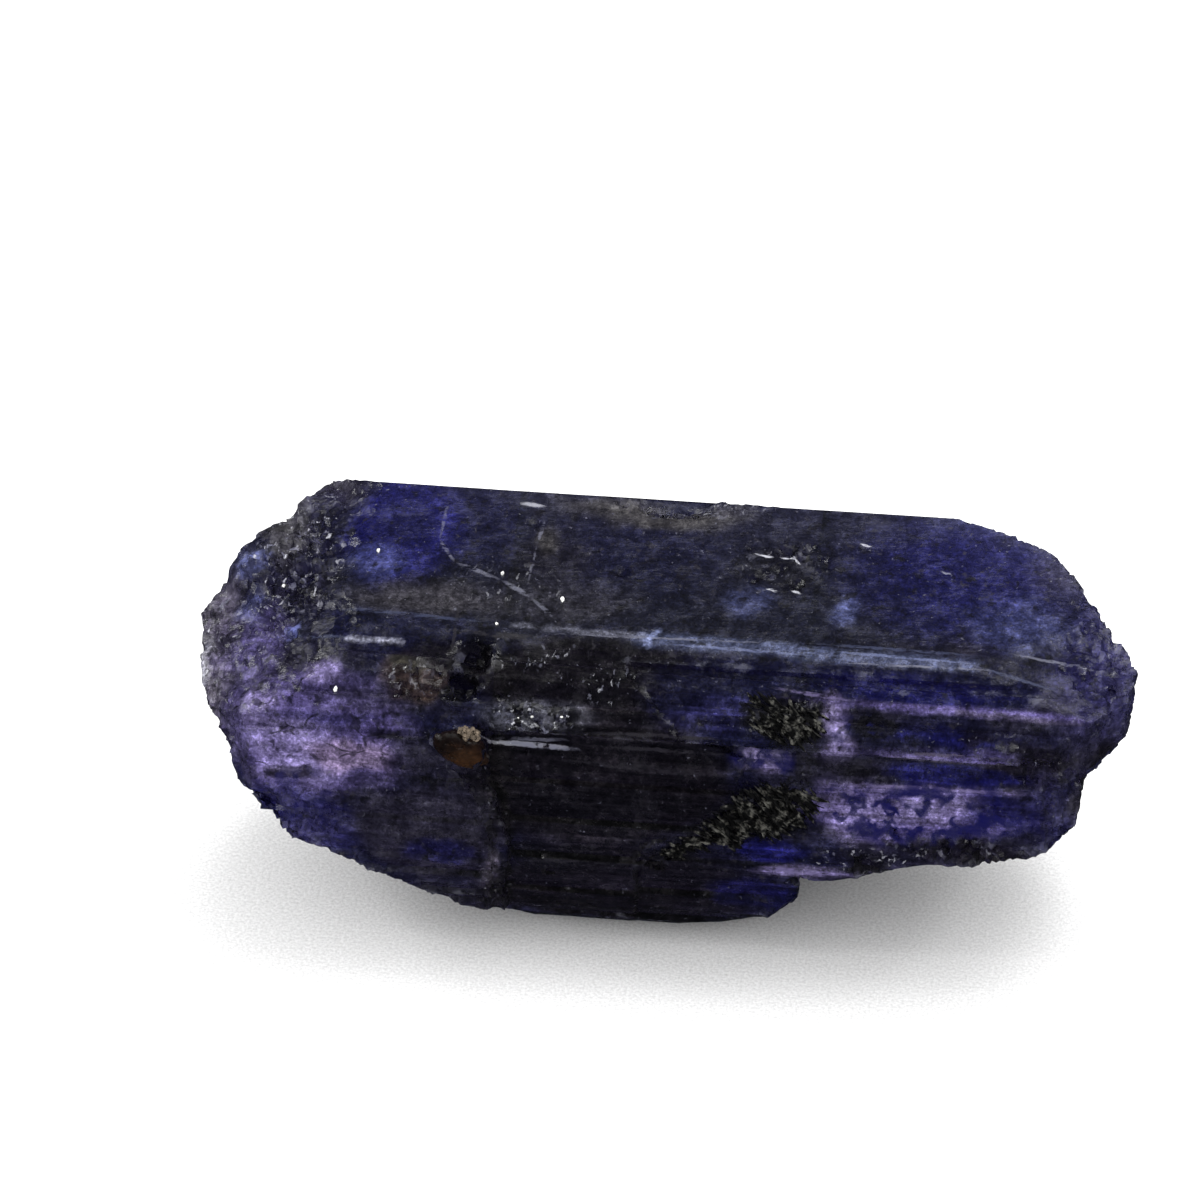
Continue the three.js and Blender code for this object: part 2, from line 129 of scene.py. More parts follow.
class GraphiteSettings(PropertyGroup):
    flake_length: length("Flake length", "Mean length of a flake", 0.6)
    flake_width: length("Flake width", "Mean width of a flake", 0.075)
    flake_height: length("Flake height", "Mean height of a flake over the crystal", 0.05)
    crowding: FloatProperty(
        name="Crowding", description="Flakes per square millimetre of a patch", default=75, min=0
    )
    # Dark is the graphite's own black; sheen is a painted highlight on it, in noise patches and on the
    # flakes' edges.
    dark: colour("Dark", "Graphite in its hollows", (0.004, 0.004, 0.0045))
    sheen: colour("Sheen", "Graphite on its ridges", (0.14, 0.137, 0.12))


class GrainSettings(PropertyGroup):
    amber: colour("Amber", "Clear side of the stained grain", (0.03, 0.0115, 0.003))
    rust: colour("Rust", "Dark side of the stained grain", (0.0075, 0.003, 0.0022))
    crust: colour("Crust", "Granular crust above the grain", (0.12, 0.092, 0.066))
    crumb_size: length("Crumb size", "Mean size of a crumb of the crust", 0.07)


class DustSettings(PropertyGroup):
    speck_size: length("Speck size", "Mean size of a dust speck", 0.12)
    tone: colour("Tone", "Colour of the dust", (0.8, 0.8, 0.78))


class StageSettings(PropertyGroup):
    azimuth: FloatProperty(
        name="Azimuth", description="The camera's turn round the crystal, from straight in front",
        default=math.radians(6), subtype="ANGLE",
    )
    elevation: FloatProperty(
        name="Elevation", description="The camera's height above the horizon",
        default=math.radians(38), subtype="ANGLE",
    )
    distance: length("Distance", "From the camera to its target", 400)
    view_width: length("View width", "Width of what the camera sees at its target", 28.17)
    target: FloatVectorProperty(
        name="Target", description="What the camera looks at", subtype="TRANSLATION",
        default=(-1.654 * MM, -0.285 * MM, 8.025 * MM),
    )
    paper: colour("Paper", "The pale floor", (0.9, 0.9, 0.9))
    fill: FloatProperty(name="Fill", description="Light from the walls of the room", default=1.3, min=0)
    mirrored_room: share("Mirrored room", "How bright the room is in the crystal's reflections", 0.02)
    floor_size: length("Floor size", "Side of the floor", 4000)


# ---------------------------------------------------------------- noise for the relief

# The steps, the seed's step and the mixer of the hash behind the noise, and the size of its words.
HASH_STEPS = (374761393, 668265263, 2246822519)
HASH_SEED = 3266489917
HASH_MIX = 1274126177
WORD = 2**32


def scrambled(cells, seed):
    """A repeatable number from 0 to 1 for each whole-numbered cell."""
    whole = cells.astype(np.int64).astype(np.uint32)
    mixed = np.full(whole.shape[:-1], seed * HASH_SEED % WORD, np.uint32)
    for axis, step in enumerate(HASH_STEPS):
        mixed = mixed + whole[..., axis] * np.uint32(step)
    mixed = (mixed ^ (mixed >> np.uint32(13))) * np.uint32(HASH_MIX)
    mixed = mixed ^ (mixed >> np.uint32(16))
    return mixed / float(WORD)


def noise(points, seed):
    """Smooth noise from -1 to 1, with cells one unit wide."""
    low = np.floor(points)
    part = points - low
    part = part * part * (3 - 2 * part)
    total = np.zeros(len(points))
    for corner in np.ndindex(2, 2, 2):
        weight = np.prod(np.where(corner, part, 1 - part), axis=1)
        total += weight * scrambled(low + corner, seed)
    return total * 2 - 1


def fractal(points, seed, octaves=4):
    """Noise with finer noise on it, about from -1 to 1."""
    return sum(noise(points * 2**i + seed, seed + i) / 2**i for i in range(octaves)) / 1.5


def chips(points, seed):
    """Flat chips that face every way: each cell about one unit wide is a small tilted plane."""
    low = np.floor(points)
    best = np.full(len(points), np.inf)
    height = np.zeros(len(points))
    for offset in np.ndindex(3, 3, 3):
        cell = low + offset - 1
        centre = cell + np.stack([scrambled(cell, seed + i) for i in range(3)], axis=1)
        away = points - centre
        distance = (away**2).sum(axis=1)
        tilt = np.stack([scrambled(cell, seed + 10 + i) for i in range(3)], axis=1) * 2 - 1
        level = scrambled(cell, seed + 20) - 0.5
        closer = distance < best
        height = np.where(closer, (away * tilt).sum(axis=1) + level, height)
        best = np.minimum(distance, best)
    return height


def eased(start, end, value):
    """0 before start and 1 after end, with a smooth rise between them."""
    t = np.clip((value - start) / (end - start), 0, 1)
    return t * t * (3 - 2 * t)


def within(points, centre, reach):
    """How far points lie inside an ellipsoid: 1 at its centre and 0 from its surface on."""
    away = np.linalg.norm((points - np.array(centre)) / np.array(reach), axis=1)
    return eased(1.0, 0.4, away)


# ---------------------------------------------------------------- meshes

WELD_DIGITS = 4  # corners that are the same to so many digits of a millimetre are one
TINY = 1e-12  # keeps a triangle with no area from being divided by nothing
SHARP_EDGE = math.radians(14)  # an edge of the solid that turns by more is kept crisp
EDGE_STEP = 0.03  # between the points along a crisp edge, in millimetres
SNAP_REACH = 0.48  # how far a corner moves to a crisp edge, of a voxel


def numbers_of(items, name, width, kind=np.float64):
    """One property of many mesh items, as rows of so many numbers."""
    numbers = np.empty(len(items) * width, kind)
    items.foreach_get(name, numbers)
    return numbers.reshape(-1, width)


def faces_of(mesh, sides):
    """The corner numbers of each face, in a mesh whose faces all have so many sides."""
    return numbers_of(mesh.loops, "vertex_index", 1, np.int32).reshape(-1, sides)


def solid_of(node):
    """The welded corners of a CAD node in millimetres, and its triangles."""
    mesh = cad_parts[node].data
    mesh.calc_loop_triangles()
    corners = numbers_of(mesh.vertices, "co", 3)
    triangles = numbers_of(mesh.loop_triangles, "vertices", 3, np.int32)
    keys = np.round(corners / MM, WELD_DIGITS)
    welded, to_welded = np.unique(keys, axis=0, return_inverse=True)
    triangles = to_welded.reshape(-1)[triangles]
    whole = (triangles != np.roll(triangles, 1, axis=1)).all(axis=1)
    return welded, triangles[whole]


def evenly_meshed(corners, triangles, voxel):
    """The corners and quads of an even mesh on a closed solid, whose edges stay where they are."""
    mesh = bpy.data.meshes.new("solid")
    mesh.from_pydata(corners.tolist(), [], triangles.tolist())
    solid = bpy.data.objects.new("solid", mesh)
    shell = bpy.data.objects.new("shell", mesh)
    for piece in (solid, shell):
        bpy.context.scene.collection.objects.link(piece)
    remesh = shell.modifiers.new("remesh", "REMESH")
    remesh.mode = "VOXEL"
    remesh.voxel_size = voxel
    wrap = shell.modifiers.new("wrap", "SHRINKWRAP")
    wrap.wrap_method = "NEAREST_SURFACEPOINT"
    wrap.target = solid
    even = shell.evaluated_get(bpy.context.evaluated_depsgraph_get()).to_mesh()
    points = numbers_of(even.vertices, "co", 3)
    quads = faces_of(even, 4)
    shell.to_mesh_clear()
    for piece in (solid, shell):
        bpy.data.objects.remove(piece)
    bpy.data.meshes.remove(mesh)
    return snapped(points, edge_points(corners, triangles), voxel * SNAP_REACH), quads.tolist()


def edge_points(corners, triangles):
    """Points close together along the sharp edges of a solid."""
    a, b, c = (corners[triangles[:, i]] for i in range(3))
    normals = np.cross(b - a, c - a)
    normals /= np.maximum(np.linalg.norm(normals, axis=1, keepdims=True), TINY)
    sides = np.stack([triangles, np.roll(triangles, -1, axis=1)], axis=2)
    sides.sort(axis=2)
    keys, of_side = np.unique(sides.reshape(-1, 2), axis=0, return_inverse=True)
    order = np.argsort(of_side.reshape(-1), kind="stable")
    first, second = order[::2] // 3, order[1::2] // 3
    sharp = (normals[first] * normals[second]).sum(axis=1) < math.cos(SHARP_EDGE)
    ends = corners[keys[sharp]]
    steps = np.ceil(np.linalg.norm(ends[:, 1] - ends[:, 0], axis=1) / EDGE_STEP).astype(int)
    runs = [
        start + (end - start) * np.linspace(0, 1, count + 1)[:, None]
        for (start, end), count in zip(ends, steps)
    ]
    return np.vstack(runs)


def snapped(points, targets, reach):
    """Moves each point that has a target within reach onto it."""
    tree = KDTree(len(targets))
    for i, target in enumerate(targets):
        tree.insert(target, i)
    tree.balance()
    for i, point in enumerate(points):
        nearest, _, distance = tree.find(point)
        if distance < reach:
            points[i] = nearest
    return points


def new_piece(name, corners, faces, material=None, sharp_angle=None):
    """A mesh object from corners in millimetres, smooth but for edges that turn by more than sharp_angle."""
    mesh = bpy.data.meshes.new(name)
    mesh.from_pydata((np.asarray(corners) * MM).tolist(), [], faces)
    if material is not None:
        mesh.materials.append(material)
    if sharp_angle is not None:
        mesh.shade_smooth()
        mesh.set_sharp_from_angle(angle=sharp_angle)
    piece = bpy.data.objects.new(name, mesh)
    bpy.context.scene.collection.objects.link(piece)
    return piece


def dressed(piece):
    """Says that a piece rides on the crystal's body."""
    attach(piece, BODY)
    return piece


# ---------------------------------------------------------------- node trees


class Tree:
    """Adds nodes to a node tree, with their values and links."""

    def __init__(self, tree):
        self.tree = tree

    def give(self, socket, value):
        """Links an output to an input, or sets the input's value."""
        if isinstance(value, bpy.types.NodeSocket):
            self.tree.links.new(value, socket)
        else:
            socket.default_value = value

    def add(self, kind, values=None, **settings):
        """A new node. values maps an input's name or number to a value, or to a socket to link."""
        node = self.tree.nodes.new(kind)
        for name, setting in settings.items():
            setattr(node, name, setting)
        for name, value in (values or {}).items():
            self.give(node.inputs[name], value)
        return node

    def shared(self, name, values):
        """The outputs of a shared group, placed with its own values."""
        return self.add("ShaderNodeGroup", values, node_tree=shared_group(name)).outputs

    def math(self, operation, *values, clamp=False):
        """What a Math node puts out."""
        node = self.add("ShaderNodeMath", dict(enumerate(values)), operation=operation, use_clamp=clamp)
        return node.outputs[0]

    def product(self, first, *others):
        """Numbers times each other."""
        for other in others:
            first = self.math("MULTIPLY", first, other)
        return first

    def vector(self, operation, *values):
        """What a Vector Math node puts out."""
        node = self.add("ShaderNodeVectorMath", dict(enumerate(values)), operation=operation)
        return node.outputs["Value" if operation == "DOT_PRODUCT" else "Vector"]

    def scaled(self, vector, by):
        """A vector times a number."""
        node = self.add("ShaderNodeVectorMath", {0: vector, "Scale": by}, operation="SCALE")
        return node.outputs["Vector"]

    def apart(self, vector):
        """A vector's X, Y and Z."""
        return self.add("ShaderNodeSeparateXYZ", {0: vector}).outputs

    def noise(self, place, scale, detail=3.0, roughness=0.6):
        """Noise from 0 to 1, mostly near its middle."""
        values = {"Vector": place, "Scale": scale, "Detail": detail, "Roughness": roughness}
        return self.add("ShaderNodeTexNoise", values).outputs["Fac"]

    def rise(self, value, start, end):
        """0 at start and 1 at end, with a smooth rise."""
        node = self.add("ShaderNodeMapRange", {0: value, 1: start, 2: end}, interpolation_type="SMOOTHSTEP")
        return node.outputs[0]

    def blend(self, factor, first, second, kind="MIX"):
        """A mix of two colours."""
        node = self.add("ShaderNodeMix", data_type="RGBA", blend_type=kind)
        factor_in, first_in, second_in = [i for i in node.inputs if i.enabled]
        self.give(factor_in, factor)
        self.give(first_in, opaque(first))
        self.give(second_in, opaque(second))
        return next(o for o in node.outputs if o.enabled)

    def contrasted(self, shade, pattern, strength):
        """A colour, lighter and darker by a pattern."""
        values = {"Color": opaque(shade), "Pattern": pattern, "Strength": strength}
        return self.shared("Contrast", values)["Color"]

    def bumped(self, height, strength, millimetres):
        """The normal of a surface with bumps up to so many millimetres high."""
        values = {"Height": height, "Strength": strength, "Distance": millimetres * MM}
        return self.add("ShaderNodeBump", values).outputs["Normal"]


def opaque(colour):
    """A colour with the full alpha that sockets ask for. A socket is left as it is."""
    return colour if isinstance(colour, bpy.types.NodeSocket) else (*colour, 1)


def new_group(name, inputs, outputs):
    """A shader node group and its inputs. inputs lists (name, kind, default), and outputs (name, kind)."""
    tree = bpy.data.node_groups.new(name, "ShaderNodeTree")
    for label, kind, default in inputs:
        socket = tree.interface.new_socket(label, in_out="INPUT", socket_type="NodeSocket" + kind)
        socket.default_value = default
    for label, kind in outputs:
        tree.interface.new_socket(label, in_out="OUTPUT", socket_type="NodeSocket" + kind)
    t = Tree(tree)
    return t, t.add("NodeGroupInput").outputs


def crystal_space(name):
    """Group: the place on the crystal in millimetres, plain, and shaken for what has a ragged edge."""
    outputs = [("Plain", "Vector"), ("Ragged", "Vector"), ("Fine", "Vector")]
    t, given = new_group(name, [("Shake", "Float", 0.5)], outputs)
    plain = t.scaled(t.add("ShaderNodeTexCoord").outputs["Object"], 1 / MM)
    places = {"Plain": plain}
    for label, scale, reach in (("Ragged", 1.1, 1.0), ("Fine", 5.0, 0.14)):
        values = {"Vector": plain, "Scale": scale, "Detail": 2.0, "Roughness": 0.65}
        wave = t.add("ShaderNodeTexNoise", values).outputs["Color"]
        shift = t.scaled(t.vector("SUBTRACT", wave, (0.5, 0.5, 0.5)), reach)
        places[label] = t.vector("ADD", plain, t.scaled(shift, given["Shake"]))
    t.add("NodeGroupOutput", places)
    return t.tree


def flecks(name):
    """Group: scattered irregular flecks, drawn out along an axis by Stretch."""
    inputs = [("Place", "Vector", (0, 0, 0)), ("Stretch", "Vector", (1, 1, 1)), ("Scale", "Float", 3.0)]
    inputs += [("Amount", "Float", 0.3), ("Softness", "Float", 0.06)]
    t, given = new_group(name, inputs, [("Mask", "Float")])
    pattern = t.noise(t.vector("MULTIPLY", given["Place"], given["Stretch"]), given["Scale"], 4.0)
    level = t.math("SUBTRACT", 0.8, t.product(given["Amount"], 0.5))
    start, end = (t.math(sign, level, given["Softness"]) for sign in ("SUBTRACT", "ADD"))
    t.add("NodeGroupOutput", {"Mask": t.rise(pattern, start, end)})
    return t.tree


def growth_lines(name):
    """Group: fine growth lines along X on the faces round the prism."""
    inputs = [("Place", "Vector", (0, 0, 0)), ("Per millimetre", "Float", 5.0), ("Drift", "Float", 0.12)]
    t, given = new_group(name, inputs, [("Height", "Float")])
    place = t.apart(given["Place"])
    angle = t.math("ARCTAN2", t.math("SUBTRACT", place["Z"], SECTION_HEIGHT), place["Y"])
    along = t.product(place["X"], given["Drift"])
    across = t.product(angle, SECTION_RADIUS, given["Per millimetre"])
    lines_at = t.add("ShaderNodeCombineXYZ", {"X": along, "Y": across}).outputs[0]
    t.add("NodeGroupOutput", {"Height": t.noise(lines_at, 1.0, 3.0, 0.65)})
    return t.tree


LINE_EDGE = 1.3  # how fast a thin line fades out at its edge


def thin_line(name):
    """Group: a mask that is 1 on a thin straight line and fades out beside it and at its ends.

    Along and Across are directions over the line's reach that way.
    """
    inputs = [("Place", "Vector", (0, 0, 0)), ("Centre", "Vector", (0, 0, 0))]
    inputs += [("Along", "Vector", (1, 0, 0)), ("Across", "Vector", (0, 0, 1))]
    t, given = new_group(name, inputs, [("Mask", "Float")])
    away = t.vector("SUBTRACT", given["Place"], given["Centre"])
    along, across = (t.vector("DOT_PRODUCT", away, given[way]) for way in ("Along", "Across"))
    total = t.math("MULTIPLY_ADD", across, across, t.product(along, along))
    t.add("NodeGroupOutput", {"Mask": t.math("MULTIPLY_ADD", total, -LINE_EDGE, LINE_EDGE, clamp=True)})
    return t.tree


SHEET = np.array((0.0, -0.6, 0.8))  # thin lines are drawn as sheets that run into the crystal this way


def line_values(line):
    """The inputs of the group Thin line for a line."""
    start, end = np.array(line.start), np.array(line.end)
    half = (end - start) / 2
    across = np.cross(half, SHEET)
    return {
        "Centre": tuple((start + end) / 2),
        "Along": tuple(half / (half @ half)),
        "Across": tuple(across / np.linalg.norm(across) / line.width),
    }


def curls(name):
    """Group: thin curved lines, broken up, like the lit rims of small shell-shaped chips."""
    inputs = [("Place", "Vector", (0, 0, 0)), ("Scale", "Float", 3.0)]
    inputs += [("Width", "Float", 0.012), ("Broken", "Float", 0.5)]
    t, given = new_group(name, inputs, [("Mask", "Float")])
    away = t.math("ABSOLUTE", t.math("SUBTRACT", t.noise(given["Place"], given["Scale"], 1.5, 0.5), 0.5))
    line = t.rise(away, given["Width"], t.product(given["Width"], 0.3))
    gate = t.noise(given["Place"], t.product(given["Scale"], 0.9))
    kept = t.rise(gate, given["Broken"], t.math("ADD", given["Broken"], 0.06))
    t.add("NodeGroupOutput", {"Mask": t.product(line, kept)})
    return t.tree


def contrast(name):
    """Group: lightens and darkens a colour by a pattern from 0 to 1, most where it is furthest from 0.5."""
    inputs = [("Color", "Color", (1, 1, 1, 1)), ("Pattern", "Float", 0.5), ("Strength", "Float", 1.0)]
    t, given = new_group(name, inputs, [("Color", "Color")])
    factor = t.math("EXPONENT", t.product(t.math("SUBTRACT", given["Pattern"], 0.5), given["Strength"]))
    t.add("NodeGroupOutput", {"Color": t.blend(1.0, given["Color"], factor, "MULTIPLY")})
    return t.tree


GROUPS = {
    "Crystal space": crystal_space,
    "Thin line": thin_line,
    "Flecks": flecks,
    "Growth lines": growth_lines,
    "Curls": curls,
    "Contrast": contrast,
}


def shared_group(name):
    """One of the node groups that materials share, built the first time it is asked for."""
    return bpy.data.node_groups.get(name) or GROUPS[name](name)


def new_material(name, shake=0.5):
    """A material, its empty tree, and the crystal's space in it, shaken by so much."""
    material = bpy.data.materials.new(name)
    material.use_nodes = True
    material.node_tree.nodes.clear()
    t = Tree(material.node_tree)
    return material, t, t.shared("Crystal space", {"Shake": shake})


# ---------------------------------------------------------------- the crystal

SECTION_HEIGHT = 4.2  # the middle of the prism's section, and its mean radius
SECTION_RADIUS = 4.3

# Growth lines in the mesh: lines per millimetre, and depth as a share of the setting, the coarsest first.
STRIA_OCTAVES = ((0.9, 1.0), (2.1, 0.8), (4.0, 0.6))
STRIA_DRIFT = 0.1  # how fast a line fades along the prism, of its changes across it

# Pits: (centre, radius, depth) in millimetres.
Pit = namedtuple("Pit", "centre radius depth")
PITS = [
    Pit((2.55, 1.5, 8.38), 0.26, 0.1),
    Pit((2.95, 1.35, 8.37), 0.2, 0.1),
    Pit((1.75, 1.6, 8.39), 0.16, 0.07),
    Pit((2.9, 0.45, 8.3), 0.2, 0.08),
    Pit((2.1, 0.7, 8.32), 0.18, 0.06),
    Pit((2.5, 0.9, 8.33), 0.22, 0.08),
    Pit((4.4, 1.85, 8.41), 0.14, 0.06),
    Pit((6.35, 1.15, 8.35), 0.12, 0.06),
    Pit((-3.4, 1.95, 8.41), 0.2, 0.05),
    Pit((-1.2, 0.45, 8.3), 0.2, 0.06),
    Pit((-9.45, -0.84, 7.2), 0.3, 0.2),
    Pit((-8.39, 1.05, 7.95), 0.28, 0.14),
    Pit((5.0, -3.75, 3.35), 0.35, 0.16),
    Pit((-4.6, -3.1, 7.35), 0.42, 0.3),
    Pit((-4.35, -2.55, 7.8), 0.45, 0.3),
    Pit((8.2, -3.45, 7.15), 0.3, 0.12),
]
# Scattered pits: centre and reach of the field, how many, mean radius and depth, seed.
PitField = namedtuple("PitField", "centre reach count radius depth seed")
PIT_FIELDS = [
    PitField((-9.0, 1.2, 7.8), (1.0, 2.0, 0.8), 60, 0.14, 0.07, 3),
    PitField((-9.0, -1.3, 7.4), (1.1, 1.2, 0.9), 36, 0.12, 0.06, 4),
    PitField((-10.3, -2.9, 6.0), (0.9, 1.6, 1.6), 26, 0.12, 0.05, 5),
    PitField((10.2, -0.6, 7.6), (1.2, 2.4, 1.2), 44, 0.13, 0.055, 6),
    PitField((9.6, -3.2, 5.2), (0.9, 0.9, 1.5), 26, 0.13, 0.06, 7),
    PitField((0.2, 2.9, 8.45), (2.3, 0.5, 0.4), 20, 0.12, 0.05, 8),
    PitField((2.6, 1.0, 8.33), (1.3, 1.1, 0.3), 16, 0.09, 0.045, 9),
    PitField((7.3, -3.9, 4.1), (2.3, 0.6, 0.6), 36, 0.12, 0.05, 11),
    PitField((6.5, -3.9, 5.0), (2.6, 0.5, 0.7), 20, 0.1, 0.03, 12),
    PitField((-8.3, -4.3, 4.0), (1.5, 0.6, 0.9), 26, 0.12, 0.05, 13),
    PitField((-7.9, -3.7, 6.5), (1.6, 0.7, 1.1), 26, 0.09, 0.04, 14),
]
PIT_SPREAD = (0.5, 1.6)  # the smallest and largest pit of a field, of its mean
PIT_SHAKE = 0.07  # how ragged a pit is, in millimetres
PIT_FLOOR = 0.35  # the flat middle of a pit, of its radius
PIT_RIM = 0.3  # the height of a pit's rim, of its depth
RIM_RADIUS, RIM_WIDTH = 1.1, 0.22  # where the rim stands and how wide it is, of the pit's radius

# Swellings and hollows: centre, reach each way, and height, in millimetres.
Swelling = namedtuple("Swelling", "centre reach height")
SWELLINGS = [
    Swelling((-9.9, 1.4, 7.2), (1.0, 1.7, 1.1), 0.26),
    Swelling((-9.95, 0.75, 7.3), (0.3, 0.35, 0.3), 0.16),
    Swelling((-9.8, -0.3, 7.1), (0.4, 0.3, 0.3), 0.12),
    Swelling((-0.2, 3.0, 8.5), (1.2, 0.6, 0.5), -0.32),
    Swelling((-1.5, 2.9, 8.5), (0.5, 0.4, 0.4), -0.08),
    Swelling((-9.35, -4.2, 4.2), (0.9, 1.1, 1.0), -0.28),
    Swelling((-5.75, -3.0, 7.5), (0.6, 0.5, 0.45), 0.1),
]

# Fields of small flat chips: centre, reach each way, and depth, in millimetres.
ChipField = namedtuple("ChipField", "centre reach depth")
CHIP_FIELDS = [
    ChipField((-9.0, 0.8, 7.7), (1.3, 2.8, 0.9), 0.13),
    ChipField((-5.8, -3.0, 7.45), (0.9, 0.7, 0.6), 0.16),
    ChipField((-2.85, -3.5, 7.0), (1.2, 0.5, 0.5), 0.12),
    ChipField((-4.4, -4.2, 6.85), (0.4, 0.3, 0.3), 0.1),
    ChipField((0.1, 2.9, 8.45), (2.2, 0.5, 0.5), 0.1),
    ChipField((7.4, -3.9, 4.0), (2.3, 0.6, 0.5), 0.13),
    ChipField((10.2, -0.9, 7.4), (1.1, 2.8, 1.2), 0.1),
    ChipField((9.0, -3.5, 6.3), (0.9, 0.5, 0.9), 0.12),
    ChipField((-8.2, -4.4, 4.2), (1.6, 0.6, 0.9), 0.07),
    ChipField((-3.9, -4.2, 2.2), (0.4, 0.6, 1.4), 0.06),
]

# Fields of ridges: centre, reach each way, the direction across the ridges, how many per millimetre, and
# height.
RidgeField = namedtuple("RidgeField", "centre reach across per_mm height")
RIDGE_FIELDS = [
    RidgeField((-10.6, -1.6, 6.2), (0.8, 2.8, 1.8), (1.0, 0.25, 0.1), 3.6, 0.09),
    RidgeField((-8.7, -4.3, 4.7), (1.7, 0.8, 1.1), (0.62, 0.0, 0.78), 2.6, 0.09),
]

# Where the relief changes, as (none, all): by a normal's X, a normal's Z, or the height in millimetres.
BROKEN_END = (0.12, 0.35)
FLAT_TOP = (0.93, 0.985)
HIGH_TOP = (7.6, 8.0)
SMOOTH_SHOULDER = (7.35, 7.75)
RESTING_FOOT = (0.25, 0.05)
RIPPLE_SIDE, RIPPLE_TOP, RIPPLE_STREAKS = 0.018, 0.008, 0.014  # heights of the ripples in millimetres


def striae(points):
    """Growth lines along the prism, about from -1 to 1."""
    across = np.arctan2(points[:, 2] - SECTION_HEIGHT, points[:, 1]) * SECTION_RADIUS
    total = np.zeros(len(points))
    for i, (per_mm, depth) in enumerate(STRIA_OCTAVES):
        along = points[:, 0] * per_mm * STRIA_DRIFT
        where = np.stack([along, across * per_mm, np.full(len(points), i)], axis=1)
        total += depth * noise(where, 40 + i)
    return total


def pitted(points):
    """How far the pits move each point along its normal, in millimetres."""
    pits = list(PITS)
    for field in PIT_FIELDS:
        rng = np.random.default_rng(field.seed)
        near = np.flatnonzero(within(points, field.centre, field.reach) > 0.1)
        for index in rng.choice(near, min(field.count, len(near)), replace=False):
            size = rng.uniform(*PIT_SPREAD)
            pits.append(Pit(points[index], field.radius * size, field.depth * size))
    ragged = points + PIT_SHAKE * np.stack([noise(points * 5, 70 + i) for i in range(3)], axis=1)
    move = np.zeros(len(points))
    for centre, radius, depth in pits:
        box = (np.abs(points - centre) < 2 * radius).all(axis=1)
        away = np.linalg.norm(ragged[box] - centre, axis=1) / radius
        hollow = -depth * (1 - eased(PIT_FLOOR, 1.0, away))
        rim = depth * PIT_RIM * np.exp(-(((away - RIM_RADIUS) / RIM_WIDTH) ** 2))
        move[box] += hollow + rim
    return move


def swollen(points):
    """How far the swellings, chips and ridges move each point along its normal, in millimetres."""
    move = np.zeros(len(points))
    for swelling in SWELLINGS:
        move += swelling.height * within(points, swelling.centre, swelling.reach)
    for field in CHIP_FIELDS:
        strength = within(points, field.centre, field.reach)
        near = strength > 0
        rough = chips(points[near] * 3.4, 57) + 0.4 * chips(points[near] * 7, 58)
        move[near] += field.depth * strength[near] * rough
    for field in RIDGE_FIELDS:
        strength = within(points, field.centre, field.reach)
        near = strength > 0
        wander = 0.5 * fractal(points[near] * 1.2, 59, 3)
        phase = points[near] @ np.array(field.across) * field.per_mm + wander
        saw = phase - np.floor(phase)
        move[near] += field.height * strength[near] * (np.minimum(saw * 1.4, (1 - saw) * 3.5) - 0.5)
    return move


def relief(points, normals, s):
    """The points of the crystal with its fine relief: growth lines, breaks, ripples, swellings and pits."""
    end = eased(*BROKEN_END, np.abs(normals[:, 0]))
    top = eased(*FLAT_TOP, normals[:, 2]) * eased(*HIGH_TOP, points[:, 2])
    side = (1 - end) * (1 - top) * (1 - 0.75 * eased(*SMOOTH_SHOULDER, points[:, 2]))
    broken = end > 0
    rough = np.zeros(len(points))
    rough[broken] = fractal(points[broken] * 1.3, 50) * 0.5
    rough[broken] += chips(points[broken] * 2.2, 51) * 0.55 + chips(points[broken] * 5, 52) * 0.22
    patchy = eased(-0.5, 0.5, fractal(points * 0.5, 54, 2))
    move = side * striae(points) * s.stria_depth / MM
    move += end * rough * s.break_depth / MM
    move += (side * RIPPLE_SIDE + top * RIPPLE_TOP) * fractal(points * (0.7, 1.1, 1.1), 53, 3)
    move += side * patchy * RIPPLE_STREAKS * fractal(points * (1.5, 4, 4), 55, 3)
    move += swollen(points) + pitted(points)
    standing = 1 - eased(*RESTING_FOOT, points[:, 2])
    moved = points + normals * (move * standing)[:, None]
    moved[:, 2] = np.maximum(moved[:, 2], 0)
    return moved


